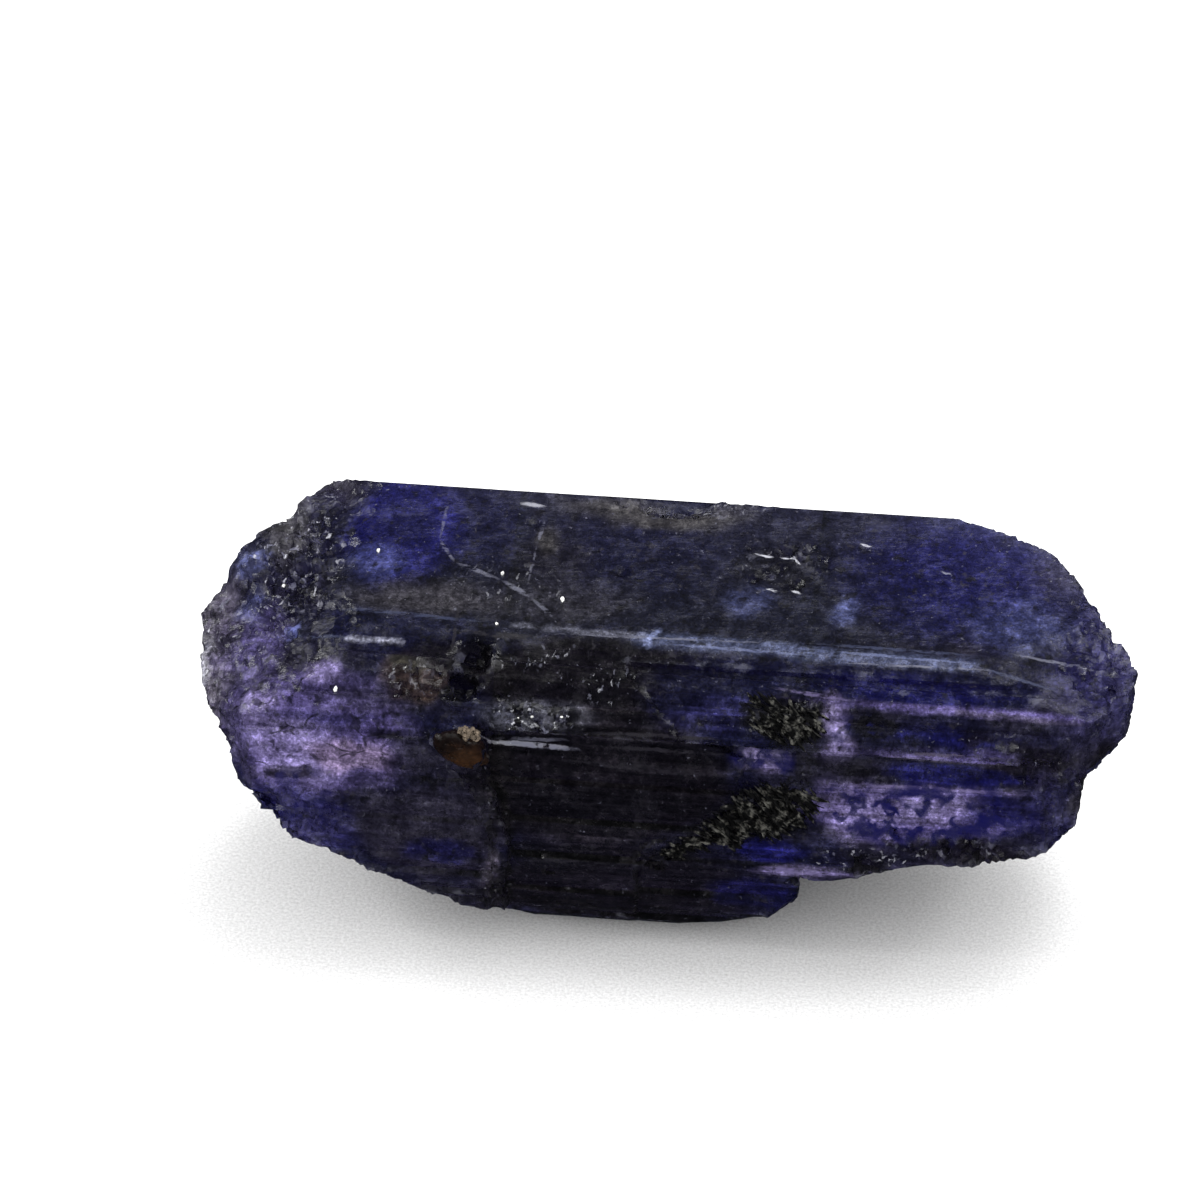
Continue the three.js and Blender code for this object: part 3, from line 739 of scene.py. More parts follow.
# Zones of colour, worked out at each corner of the mesh and kept in it as "Ground": an ellipsoid at centre
# that reaches reach each way in millimetres, turned about Y by turn degrees. edge is how soft it is, of its
# reach, and amount how strong. tone names a colour of the crystal's settings. run says how its edge runs:
# ragged all round, or out in streaks along the prism. A later zone lies over an earlier one.
Zone = namedtuple("Zone", "centre reach turn edge tone amount run", defaults=("Ragged",))
ZONES = [
    # the top: navy and slate ground, royal blue on the left, a grey veil, the chipped back edge
    Zone((0.0, 0.8, 8.4), (11.0, 3.2, 0.7), 0, 0.2, "slate", 0.9),
    Zone((-4.6, 1.7, 8.4), (0.9, 1.3, 0.5), 0, 0.4, "navy", 0.8),
    Zone((-6.5, 1.4, 8.4), (1.4, 1.9, 0.6), 0, 0.3, "royal", 0.85),
    Zone((-6.5, 1.7, 8.4), (0.7, 0.9, 0.5), 0, 0.5, "navy", 0.5),
    Zone((-7.0, 0.3, 8.3), (0.7, 0.5, 0.4), 0, 0.5, "pale_blue", 0.18),
    Zone((-5.7, -0.85, 8.2), (1.7, 0.62, 0.4), 0, 0.4, "haze", 0.85),
    Zone((-2.4, -0.6, 8.25), (1.5, 0.9, 0.4), 0, 0.5, "haze", 0.45),
    Zone((-1.2, 1.0, 8.35), (2.2, 1.2, 0.4), 0, 0.6, "navy", 0.65),
    Zone((-3.0, 0.9, 8.35), (0.9, 0.9, 0.4), 0, 0.6, "umber", 0.6),
    Zone((-0.6, 2.6, 8.45), (2.0, 0.5, 0.5), 0, 0.5, "olive", 0.6),
    Zone((-3.2, 1.3, 8.35), (0.25, 0.5, 0.3), 0, 0.5, "olive", 0.4),
    Zone((2.5, 0.8, 8.35), (0.9, 1.0, 0.4), 0, 0.5, "black", 0.6),
    Zone((1.8, -0.2, 8.3), (0.5, 0.5, 0.3), 0, 0.6, "pale_blue", 0.22),
    Zone((5.0, 1.0, 8.35), (1.3, 1.4, 0.4), 0, 0.6, "navy", 0.6),
    Zone((7.0, 0.9, 8.35), (2.4, 2.2, 0.5), 0, 0.5, "royal", 0.6),
    Zone((8.3, -0.5, 8.2), (1.1, 0.8, 0.4), 8, 0.6, "pale_blue", 0.2),
    Zone((4.15, -0.3, 8.2), (0.3, 0.6, 0.3), 0, 0.5, "pale_blue", 0.35),
    Zone((9.2, 1.3, 8.2), (0.8, 0.9, 0.6), 0, 0.6, "haze", 0.35),
    # the pitted left corner and the left rim
    Zone((-9.0, 1.5, 7.9), (1.1, 2.0, 0.9), -20, 0.3, "navy", 0.8),
    Zone((-9.0, 1.3, 7.8), (1.1, 1.8, 0.9), -20, 0.4, "black", 0.4),
    Zone((-9.3, 1.9, 7.6), (0.5, 1.3, 0.6), -20, 0.4, "olive", 0.35),
    Zone((-9.2, -1.2, 7.3), (1.0, 1.0, 0.6), -20, 0.4, "slate", 0.8),
    Zone((-10.05, 0.9, 7.4), (0.4, 0.45, 0.4), 0, 0.3, "pale_blue", 0.6),
    Zone((-8.85, -1.65, 7.45), (0.24, 0.28, 0.24), 0, 0.2, "pale_blue", 0.9),
    Zone((-9.8, -0.4, 7.1), (0.4, 0.4, 0.4), 0, 0.5, "pale_blue", 0.5),
    Zone((-9.7, -1.6, 7.0), (0.9, 1.2, 0.8), 0, 0.4, "violet", 0.6),
    Zone((-10.6, -1.6, 6.3), (0.6, 2.2, 1.3), 0, 0.4, "mauve", 0.5),
    # a painted highlight on the left rim
    Zone((-10.9, -2.0, 6.1), (0.3, 1.1, 0.9), 0, 0.4, "glint", 0.35),
    # the left of the front: lilac windows with a painted glow of light shining through, the smooth dusky
    # facet, blue ridges below
    Zone((-8.0, -3.7, 6.3), (2.2, 1.2, 1.6), 0, 0.25, "violet", 0.95),
    Zone((-9.3, -3.6, 6.7), (0.55, 0.6, 0.5), 0, 0.3, "lilac", 0.75),
    Zone((-8.0, -3.1, 7.55), (0.5, 0.35, 0.22), 0, 0.3, "lilac", 0.75),
    Zone((-8.3, -4.1, 5.8), (1.2, 0.6, 0.7), 12, 0.3, "lilac", 0.65),
    Zone((-7.2, -4.15, 5.95), (0.95, 0.5, 0.42), 0, 0.3, "rose", 0.85),
    Zone((-7.5, -3.7, 6.75), (1.5, 0.4, 0.16), 0, 0.4, "indigo", 0.6, "Streaked"),
    Zone((-8.2, -4.4, 4.2), (1.3, 0.6, 0.8), 32, 0.4, "indigo", 0.7),
    Zone((-5.4, -4.4, 4.0), (1.6, 0.6, 1.35), 12, 0.2, "dusk", 0.95),
    Zone((-5.0, -4.35, 3.4), (0.8, 0.4, 0.42), 0, 0.3, "royal", 0.6),
    Zone((-5.7, -4.1, 6.0), (0.6, 0.4, 0.5), 0, 0.4, "dusk", 0.7),
    Zone((-6.6, -3.4, 7.15), (1.4, 0.5, 0.3), 0, 0.5, "dusk", 0.7),
    Zone((-3.85, -4.2, 2.6), (0.22, 0.5, 0.8), 8, 0.4, "mauve", 0.6),
    Zone((-5.7, -3.0, 7.5), (0.75, 0.6, 0.42), 0, 0.3, "brown", 0.8),
    Zone((-5.9, -2.75, 7.75), (0.35, 0.25, 0.2), 0, 0.4, "olive", 0.9),
    Zone((-5.1, -2.6, 7.85), (0.75, 0.45, 0.35), 0, 0.4, "umber", 0.9),
    # painted shadow in the cleft at the top of the step
    Zone((-4.35, -2.45, 7.8), (0.45, 0.65, 0.45), 0, 0.25, "black", 0.98),
    Zone((-4.75, -3.1, 7.4), (0.4, 0.6, 0.4), 0, 0.25, "black", 0.98),
    Zone((-8.5, -4.35, 5.45), (0.6, 0.3, 0.2), 8, 0.2, "umber", 0.85),
    Zone((-6.2, -4.0, 6.45), (0.5, 0.3, 0.1), 0, 0.2, "black", 0.9),
    # more painted shadow in the cleft
    Zone((-4.5, -2.75, 7.6), (0.5, 0.6, 0.45), 0, 0.2, "black", 0.95),
    # the middle of the front: brown-black clouds
    Zone((-1.6, -2.9, 7.6), (2.9, 1.2, 0.85), 0, 0.2, "umber", 0.93),
    Zone((-1.4, -3.9, 5.4), (3.3, 0.8, 1.9), 0, 0.2, "umber", 0.97),
    Zone((-0.8, -3.5, 2.2), (3.6, 1.4, 1.8), 0, 0.3, "umber", 0.92),
    Zone((-2.2, -3.95, 3.1), (1.3, 0.5, 0.4), 0, 0.4, "black", 0.8),
    Zone((-1.6, -3.9, 4.8), (2.4, 0.6, 0.7), 0, 0.5, "black", 0.5, "Streaked"),
    # a painted haze of glints on the chipped patch below the ridge
    Zone((-2.9, -3.62, 7.02), (1.2, 0.4, 0.36), 0, 0.6, "frost_and_highlight", 0.25),
    # right of the diagonal edge: navy facet, graphite patches, what lies between them
    Zone((1.1, -3.0, 7.5), (1.4, 0.9, 0.62), 0, 0.25, "navy", 0.85),
    Zone((1.3, -3.3, 7.2), (0.9, 0.5, 0.3), 0, 0.5, "indigo", 0.4, "Streaked"),
    Zone((1.2, -3.7, 6.2), (1.2, 0.5, 0.5), 0, 0.4, "umber", 0.7),
    Zone((3.1, -3.3, 7.2), (1.15, 0.6, 0.42), 0, 0.2, "black", 0.97),
    Zone((2.5, -3.95, 4.7), (1.25, 0.6, 0.72), -15, 0.2, "black", 0.97),
    Zone((0.9, -3.95, 3.9), (1.1, 0.6, 0.3), -35, 0.3, "black", 0.9),
    # painted glow of light shining through, in lilac
    Zone((2.5, -3.5, 6.2), (0.5, 0.5, 0.34), 0, 0.4, "lilac", 0.75),
    Zone((2.8, -3.9, 3.7), (0.75, 0.5, 0.35), 0, 0.2, "royal", 0.95),
    # painted glow of light shining through, in lilac
    Zone((3.3, -3.8, 3.1), (1.25, 0.5, 0.14), 0, 0.3, "lilac", 0.65, "Streaked"),
    Zone((2.4, -3.5, 2.2), (1.0, 0.6, 0.6), 0, 0.3, "royal", 0.6),
    Zone((5.0, -3.8, 3.35), (0.4, 0.4, 0.35), 0, 0.3, "black", 0.85),
    # the right of the front: dark facet, lit edge, stripes, lilac window, dark lower rim; the edge's light
    # and the window's glow are painted
    Zone((5.4, -2.4, 7.85), (4.2, 0.75, 0.42), 0, 0.15, "navy", 0.95),
    Zone((5.8, -2.6, 7.75), (2.6, 0.5, 0.2), 1, 0.4, "royal", 0.75, "Streaked"),
    Zone((7.0, -3.5, 7.0), (3.1, 0.5, 0.5), 0, 0.3, "navy", 0.7),
    Zone((6.6, -3.5, 7.1), (1.6, 0.4, 0.22), 0, 0.5, "royal", 0.7),
    Zone((4.15, -3.2, 7.3), (0.36, 0.4, 0.45), 0, 0.3, "lilac", 0.85),
    Zone((4.3, -3.6, 6.5), (0.42, 0.4, 0.5), 0, 0.4, "lilac", 0.8),
    Zone((6.7, -3.0, 7.56), (3.4, 0.16, 0.12), 0, 0.4, "violet", 0.85, "Streaked"),
    Zone((5.15, -3.35, 7.2), (0.6, 0.4, 0.36), 0, 0.1, "black", 0.92),
    Zone((7.0, -3.7, 6.62), (2.1, 0.4, 0.2), 0, 0.3, "violet", 0.85, "Streaked"),
    Zone((6.2, -3.7, 6.6), (0.9, 0.3, 0.13), 0, 0.4, "lilac", 0.7, "Streaked"),
    Zone((7.2, -3.6, 6.03), (1.7, 0.4, 0.18), 0, 0.2, "royal", 0.97, "Streaked"),
    Zone((4.6, -3.6, 6.1), (0.7, 0.4, 0.18), 0, 0.2, "black", 0.8, "Streaked"),
    Zone((6.2, -3.7, 5.7), (2.2, 0.4, 0.08), 0, 0.3, "lilac", 0.6, "Streaked"),
    Zone((6.0, -3.9, 5.0), (2.5, 0.6, 0.75), 0, 0.25, "violet", 0.92),
    Zone((6.4, -3.85, 5.2), (1.0, 0.5, 0.42), 0, 0.5, "lilac", 0.7),
    Zone((4.7, -3.85, 4.9), (0.9, 0.5, 0.8), 0, 0.4, "lilac", 0.6),
    Zone((8.0, -3.85, 5.2), (0.8, 0.5, 0.5), 0, 0.5, "royal", 0.85),
    Zone((7.4, -3.9, 3.95), (1.8, 0.6, 0.4), 4, 0.3, "umber", 0.85),
    Zone((7.6, -3.4, 7.2), (0.4, 0.4, 0.16), 0, 0.4, "umber", 0.8),
    Zone((8.8, -3.6, 6.5), (0.8, 0.4, 0.6), 0, 0.4, "umber", 0.85, "Streaked"),
    # the right end: the rim, the lump below, the notch
    Zone((10.2, -0.9, 7.4), (1.2, 2.6, 1.0), 0, 0.4, "indigo", 0.45),
    Zone((9.2, -3.4, 5.0), (0.9, 0.7, 1.0), 0, 0.4, "indigo", 0.4),
    Zone((9.9, -3.2, 5.3), (0.28, 0.5, 0.5), 0, 0.4, "haze", 0.8),
    Zone((10.5, -2.6, 5.9), (0.7, 0.8, 0.7), 0, 0.3, "umber", 0.95),
]

# Lines of colour over the zones: start, end, half width, tone and amount.
Line = namedtuple("Line", "start end width tone amount")
WIDE_LINE = 0.1  # a line of at least this half width is kept in the mesh, and the material draws the others
LINES = [
    # the pale band along the ridge, worn edges with a painted reflection, and the facet edge that runs on
    # from its right end
    Line((-0.5, -1.78, 8.13), (3.1, -1.83, 8.13), 0.32, "ridge", 0.72),
    Line((3.1, -1.9, 8.1), (7.3, -1.9, 8.09), 0.28, "ridge", 0.75),
    Line((3.42, -1.55, 8.14), (7.5, -1.62, 8.14), 0.06, "ridge", 0.6),
    Line((7.2, -1.9, 8.08), (9.35, -2.3, 7.76), 0.05, "ridge", 0.6),
    Line((8.1, -1.45, 8.13), (10.46, -1.53, 7.8), 0.05, "frost_and_highlight", 0.7),
    Line((-3.5, -1.59, 8.14), (-0.5, -1.72, 8.13), 0.14, "frost_and_highlight", 0.32),
    Line((-7.88, -1.2, 7.95), (-4.04, -1.57, 8.15), 0.07, "ridge", 0.55),
    Line((-8.95, -1.7, 7.5), (-7.3, -2.25, 7.95), 0.06, "ridge", 0.6),
    Line((-7.4, -2.27, 7.96), (-6.1, -2.27, 7.96), 0.1, "frost_and_highlight", 0.95),
    Line((-0.36, -1.9, 8.1), (-0.22, -1.5, 8.13), 0.12, "sky", 0.95),
    Line((-4.9, -1.9, 8.1), (-2.6, -2.0, 8.08), 0.09, "haze", 0.7),
    Line((0.0, -1.9, 8.11), (3.6, -1.95, 8.1), 0.045, "sky", 0.3),
    Line((3.0, -1.75, 8.12), (7.6, -1.88, 8.09), 0.05, "sky", 0.3),
    Line((4.0, -2.1, 8.05), (7.9, -2.02, 8.06), 0.035, "frost_and_highlight", 0.8),
    Line((-3.0, -1.8, 8.1), (3.0, -1.62, 8.13), 0.035, "frost_and_highlight", 0.6),
    # pits with lit rims on the top
    Line((1.8, 1.42, 8.38), (2.3, 1.3, 8.37), 0.04, "glint", 0.9),
    Line((2.4, 1.36, 8.37), (2.85, 1.3, 8.37), 0.035, "glint", 1.0),
    Line((2.75, 1.4, 8.37), (2.95, 1.1, 8.35), 0.035, "glint", 1.0),
    Line((2.2, 0.22, 8.28), (2.5, 0.15, 8.28), 0.035, "glint", 0.9),
    Line((2.8, 0.24, 8.28), (3.05, 0.1, 8.27), 0.04, "glint", 0.9),
    Line((4.25, 2.0, 8.42), (4.55, 1.9, 8.41), 0.035, "glint", 0.9),
    Line((6.25, 1.22, 8.35), (6.5, 1.12, 8.34), 0.035, "frost_and_highlight", 1.0),
    # the lit edge and the lines on the right of the front
    Line((2.6, -2.75, 7.7), (4.6, -2.93, 7.6), 0.06, "lilac", 0.7),
    Line((4.6, -2.95, 7.57), (9.88, -3.02, 7.48), 0.11, "violet", 0.9),
    Line((7.0, -3.0, 7.53), (9.9, -3.05, 7.44), 0.1, "mauve", 0.6),
    Line((3.99, -3.68, 5.68), (8.33, -3.67, 5.75), 0.05, "lilac", 0.8),
    Line((5.5, -3.71, 6.75), (8.32, -3.73, 6.8), 0.05, "mauve", 0.6),
    Line((2.4, -3.85, 3.2), (4.6, -3.85, 3.1), 0.07, "lilac", 0.9),
    # the ledge with its painted highlight, and the lines below it
    Line((-4.2, -3.66, 6.3), (-1.9, -3.63, 6.22), 0.06, "glint", 0.75),
    Line((-3.9, -3.7, 6.36), (-1.7, -3.65, 6.2), 0.07, "frost_and_highlight", 0.95),
    Line((-3.4, -3.66, 6.97), (-2.7, -3.7, 6.85), 0.07, "glint", 0.9),
    Line((-3.9, -3.8, 6.6), (-2.03, -3.82, 6.74), 0.05, "frost_and_highlight", 0.5),
    Line((-1.9, -3.8, 6.8), (1.99, -3.68, 6.83), 0.06, "haze", 0.8),
    Line((-1.9, -3.61, 6.3), (1.98, -3.57, 6.26), 0.05, "haze", 0.8),
    Line((-2.4, -3.7, 5.85), (2.0, -3.69, 5.66), 0.07, "haze", 0.6),
    Line((-3.1, -3.96, 3.1), (-0.8, -3.96, 3.0), 0.06, "haze", 0.5),
    # cracks across the top
    Line((-5.56, 2.53, 8.46), (-5.6, 1.18, 8.36), 0.05, "frost_and_highlight", 0.45),
    Line((-5.6, 1.18, 8.36), (-5.16, 0.45, 8.3), 0.06, "frost_and_highlight", 0.6),
    Line((-5.16, 0.45, 8.3), (-3.99, -0.07, 8.26), 0.07, "frost_and_highlight", 0.6),
    Line((-3.99, -0.07, 8.26), (-3.27, -0.59, 8.22), 0.08, "frost_and_highlight", 0.7),
    Line((-3.27, -0.59, 8.22), (-2.6, -1.3, 8.17), 0.06, "frost_and_highlight", 0.5),
    Line((-3.21, 2.11, 8.43), (-3.3, 1.23, 8.36), 0.05, "frost_and_highlight", 0.5),
    Line((-3.3, 1.23, 8.36), (-3.38, -0.2, 8.26), 0.04, "frost_and_highlight", 0.4),
    Line((-3.9, 2.65, 8.46), (-3.2, 2.6, 8.45), 0.07, "glint", 0.5),
    Line((-4.9, -0.9, 8.2), (-4.9, -3.0, 7.6), 0.05, "haze", 0.7),
]

# Where small shell-shaped chips catch the light, and where squiggles and cracks are drawn: centre, reach
# each way and amount. The mesh keeps them as the red, green and blue of "Marks".
LIT_CHIPS = [
    ((-8.9, 1.2, 7.8), (1.2, 2.2, 0.9), 0.85),
    ((-9.0, -0.4, 7.5), (0.9, 0.7, 0.7), 0.6),
    ((-10.7, -1.6, 6.3), (0.6, 2.2, 1.3), 0.8),
    ((10.4, -0.8, 7.5), (0.6, 2.6, 1.1), 0.12),
    ((2.4, 1.0, 8.35), (0.7, 0.6, 0.4), 0.25),
    ((0.0, 2.9, 8.5), (2.2, 0.35, 0.3), 0.35),
    ((-2.75, -3.65, 7.0), (1.2, 0.45, 0.42), 1.0),
    ((-1.2, -2.9, 7.6), (0.6, 0.5, 0.35), 0.7),
    ((-3.0, -2.4, 7.8), (1.1, 0.5, 0.4), 0.55),
    ((-3.8, -0.2, 8.25), (1.2, 0.7, 0.4), 0.25),
    ((5.0, -3.9, 3.5), (1.4, 0.5, 0.4), 0.5),
    ((-5.8, -3.0, 7.45), (0.7, 0.5, 0.4), 0.3),
    ((-3.9, -4.2, 2.3), (0.25, 0.5, 0.7), 0.35),
    ((7.2, -3.9, 4.0), (2.4, 0.5, 0.3), 0.3),
]
SQUIGGLES = [
    ((6.2, -3.9, 5.0), (2.6, 0.6, 0.85), 0.95),
    ((2.5, -3.6, 6.2), (0.7, 0.4, 0.5), 0.9),
    ((4.6, -3.3, 6.9), (0.8, 0.4, 0.6), 0.7),
    ((-8.7, -4.3, 4.8), (1.6, 0.5, 0.8), 0.6),
]
CRACKS = [
    ((-8.2, -3.8, 6.2), (2.2, 1.2, 1.5), 0.75),
    ((-1.5, 0.8, 8.35), (2.6, 1.8, 0.5), 0.5),
    ((-1.4, -3.0, 7.6), (2.4, 0.8, 0.6), 0.5),
]


RAGGED_RUN = ((1.3, 1.3, 1.3), (0.3, 0.3, 0.3), 80)
STREAKED_RUN = ((0.5, 2.0, 4.0), (1.1, 0.2, 0.16), 120)


def patch(points, centre, reach, turn, edge):
    """A mask that is 1 inside an ellipsoid and 0 outside it, with a soft edge."""
    sine, cosine = math.sin(math.radians(turn)), math.cos(math.radians(turn))
    x, y, z = (points - np.array(centre)).T
    along = (x * cosine - z * sine) / reach[0]
    up = (x * sine + z * cosine) / reach[2]
    return eased(1 + edge, 1 - edge, np.sqrt(along**2 + (y / reach[1]) ** 2 + up**2))


def shaken(points, stretch, reach, seed):
    """Points moved about by noise, so that what is drawn by them is ragged."""
    waves = np.stack([fractal(points * stretch, seed + 10 * i) for i in range(3)], axis=1)
    return points + waves * reach


def ground(points, s):
    """The colour of the crystal at each point, from its zones and wide lines, painted glow, shadow and
    highlights among them.
    """
    runs = {"Ragged": shaken(points, *RAGGED_RUN), "Streaked": shaken(points, *STREAKED_RUN)}
    clouds = eased(-0.5, 0.5, fractal(points * 0.6, 160))[:, None]
    shade = np.array(s.navy) * (1 - clouds) + np.array(s.dusk) * clouds

    def cover(mask, tone):
        nonlocal shade
        shade = shade + mask[:, None] * (np.array(getattr(s, tone)) - shade)

    for zone in ZONES:
        mask = patch(runs[zone.run], zone.centre, zone.reach, zone.turn, zone.edge)
        cover(mask * zone.amount, zone.tone)
    broken = eased(-0.7, -0.05, fractal(points * (1.2, 3, 3), 170))
    wavy = shaken(points, (4, 4, 4), 0.06, 180)
    for line in LINES:
        if line.width >= WIDE_LINE:
            cover(beside(wavy, line) * line.amount * broken, line.tone)
    return shade


def beside(points, line):
    """A mask that is 1 on a wide line and fades out at its width from it."""
    reach = np.subtract(line.end, line.start)
    from_start = points - np.array(line.start)
    reached = np.clip(from_start @ reach / (reach @ reach), 0, 1)
    away = np.linalg.norm(from_start - reached[:, None] * reach, axis=1)
    return eased(line.width, line.width * 0.4, away)


def marked(points, fields):
    """How strongly one kind of mark shows at each point."""
    ragged = shaken(points, *RAGGED_RUN)
    return np.max([patch(ragged, centre, reach, 0, 0.3) * amount for centre, reach, amount in fields], axis=0)


def drawn_lines(t, space, shade, stretch, s):
    """Draws a stretch's thin lines over a shade. A line of amount 1 is whole, others are broken up."""
    along = t.vector("MULTIPLY", space["Plain"], (0.7, 2, 2))
    broken = t.rise(t.noise(along, 2.6, 3.0, 0.75), 0.38, 0.54)
    for line in LINES:
        left, right = sorted((line.start[0], line.end[0]))
        if line.width < WIDE_LINE and left < stretch.end and right > stretch.start:
            mask = t.shared("Thin line", {"Place": space["Fine"], **line_values(line)})["Mask"]
            if line.amount < 1:
                mask = t.product(mask, broken, line.amount)
            shade = t.blend(mask, shade, getattr(s, line.tone))
    return shade


# The flecks that make up lit chips: scale, amount, tone and strength, the lowest layer first.
CHIP_FLECKS = ((2.6, 0.52, "black", 0.95), (3.6, 0.33, "frost_and_highlight", 0.8), (4.2, 0.3, "glint", 1.0))


def marks(t, space, shade, s):
    """Draws squiggles, cracks and lit chips over a shade, each where the mesh has it."""
    colour = t.add("ShaderNodeAttribute", attribute_name="Marks").outputs["Color"]
    where = t.add("ShaderNodeSeparateColor", {0: colour}).outputs
    values = {"Place": space["Fine"], "Scale": 1.5, "Width": 0.12, "Broken": 0.4}
    squiggles = t.product(t.shared("Curls", values)["Mask"], where["Green"])
    shade = t.blend(squiggles, shade, s.royal)

    cells = {"Vector": t.vector("MULTIPLY", space["Ragged"], (1.0, 1.4, 1.6)), "Scale": 0.75}
    edge = t.add("ShaderNodeTexVoronoi", cells, feature="DISTANCE_TO_EDGE").outputs["Distance"]
    open_here = t.rise(t.noise(space["Plain"], 1.9, 2.0), 0.46, 0.56)
    shade = t.blend(t.product(t.rise(edge, 0.04, 0.012), open_here, where["Blue"]), shade, s.umber)

    values = {"Place": space["Ragged"], "Stretch": (1.5, 0.7, 1.0), "Softness": 0.035}
    for scale, amount, tone, strength in CHIP_FLECKS:
        specks = t.shared("Flecks", {**values, "Scale": scale, "Amount": amount})["Mask"]
        shade = t.blend(t.product(specks, where["Red"], strength), shade, getattr(s, tone))
    return shade


# The crystal's finish is one material for each stretch of X in millimetres, which holds the thin lines near
# it. striation is how strongly the growth lines show in its colour.
Stretch = namedtuple("Stretch", "name start end striation")
STRETCHES = [
    Stretch("left", -20, -3.9, 3.0),
    Stretch("middle", -3.9, 3.3, 6.0),
    Stretch("right", 3.3, 20, 4.5),
]
# Flecks all over the crystal: scale, amount, softness, tone and strength. The finest, palest flecks are
# painted glints.
FLECKS = ((2.4, 0.34, 0.05, "black", 0.8), (4.5, 0.3, 0.04, "haze", 0.6), (9.0, 0.22, 0.03, "frost_and_highlight", 0.5))
WEAR = 0.3  # how strongly worn edges show


def crystal_material(stretch, s):
    """The crystal's finish: clear, with zones of colour, clouds, growth lines, flecks and worn edges, and
    painted glow, shadow and highlights among them.
    """
    material, t, space = new_material("Tanzanite " + stretch.name, 0.6)
    plain = space["Plain"]
    geometry = t.add("ShaderNodeNewGeometry").outputs
    facing_x = t.math("ABSOLUTE", t.apart(geometry["Normal"])["X"])
    striated = t.product(t.rise(facing_x, 0.35, 0.12), t.rise(t.apart(plain)["Z"], 7.8, 7.3))
    lines = t.shared("Growth lines", {"Place": plain, "Per millimetre": 4.5, "Drift": 0.3})["Height"]
    lines = t.math("ADD", 0.5, t.product(striated, t.math("SUBTRACT", lines, 0.5)))
    patchy = t.noise(space["Ragged"], 1.6, 5.0, 0.72)
    fine = t.noise(space["Fine"], 5.5, 3.0, 0.7)
    finest = t.noise(plain, 16.0, 1.0, 0.6)

    shade = t.add("ShaderNodeAttribute", attribute_name="Ground").outputs["Color"]
    for pattern, strength in ((patchy, 5.0), (fine, 3.2), (finest, 2.0), (lines, stretch.striation)):
        shade = t.contrasted(shade, pattern, strength)
    for scale, amount, softness, tone, strength in FLECKS:
        values = {"Place": space["Fine"], "Scale": scale, "Amount": amount, "Softness": softness}
        shade = t.blend(t.product(t.shared("Flecks", values)["Mask"], strength), shade, getattr(s, tone))
    worn = t.product(t.rise(geometry["Pointiness"], 0.53, 0.62), t.rise(patchy, 0.42, 0.62), WEAR)
    shade = t.blend(worn, shade, s.frost_and_highlight)
    shade = drawn_lines(t, space, shade, stretch, s)
    shade = marks(t, space, shade, s)

    roughness = t.math("ADD", 0.12, t.product(t.rise(patchy, 0.4, 0.7), 0.25))
    roughness = t.math("ADD", roughness, t.product(t.rise(facing_x, 0.15, 0.4), 0.12))
    height = t.noise(t.vector("MULTIPLY", plain, (0.45, 1.4, 1.4)), 5.5, 3.0, 0.65)
    values = {"Base Color": shade, "Roughness": roughness, "Normal": t.bumped(height, 0.6, 0.05)}
    values |= {"IOR": s.ior, "Transmission Weight": s.clearness}
    surface = t.add("ShaderNodeBsdfPrincipled", values).outputs[0]

    # Rays that come from other surfaces meet a plainer one, which is much faster.
    path = t.add("ShaderNodeLightPath").outputs
    dark_side = t.add("ShaderNodeBsdfDiffuse", {"Color": opaque(s.dusk)}).outputs[0]
    clear_side = t.add("ShaderNodeBsdfTransparent").outputs[0]
    values = {0: path["Is Transmission Ray"], 1: dark_side, 2: clear_side}
    plain_side = t.add("ShaderNodeMixShader", values).outputs[0]
    side = t.add("ShaderNodeMixShader", {0: path["Is Camera Ray"], 1: plain_side, 2: surface}).outputs[0]
    values = {"Color": opaque(s.body_tint), "Density": s.absorption}
    inside = t.add("ShaderNodeVolumeAbsorption", values).outputs[0]
    t.add("ShaderNodeOutputMaterial", {"Surface": side, "Volume": inside})
    return material


def paint(piece, name, colours):
    """Keeps a colour for each corner of a piece's mesh, for its material to read."""
    whole = np.column_stack([colours, np.ones(len(colours))])
    piece.data.attributes.new(name, "FLOAT_COLOR", "POINT").data.foreach_set("color", whole.reshape(-1))


def build_crystal(s):
    """The crystal's fine surface over its CAD solid, with its colours kept in the mesh."""
    corners, quads = evenly_meshed(*solid_of(NODE), s.voxel / MM)
    bare = new_piece("bare", corners, quads)
    corners = relief(corners, numbers_of(bare.data.vertices, "normal", 3), s)
    bpy.data.objects.remove(bare)
    piece = new_piece("crystal", corners, quads, None, s.sharp_angle)
    for stretch in STRETCHES:
        piece.data.materials.append(crystal_material(stretch, s))
    middles = corners[np.array(quads)].mean(axis=1)[:, 0]
    piece.data.polygons.foreach_set("material_index", np.digitize(middles, [x.start for x in STRETCHES[1:]]))
    paint(piece, "Ground", ground(corners, s))
    paint(piece, "Marks", np.column_stack([marked(corners, kind) for kind in (LIT_CHIPS, SQUIGGLES, CRACKS)]))
    dressed(piece)
    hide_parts(NODE)


class TANZANITE_OT_crystal(Operator):
    """Make the crystal's fine surface and its finish over the CAD solid"""

    bl_idname = "tanzanite.crystal"
    bl_label = "Crystal"

    def execute(self, context):
        build_crystal(context.scene.tanzanite_crystal)
        return {"FINISHED"}


# ---------------------------------------------------------------- what is grown on the crystal


def crystal_tree():
    """The crystal's fine surface in millimetres, to set other pieces on."""
    mesh = bpy.data.objects["crystal"].data
    corners = numbers_of(mesh.vertices, "co", 3) / MM
    return BVHTree.FromPolygons(corners.tolist(), faces_of(mesh, 4).tolist())


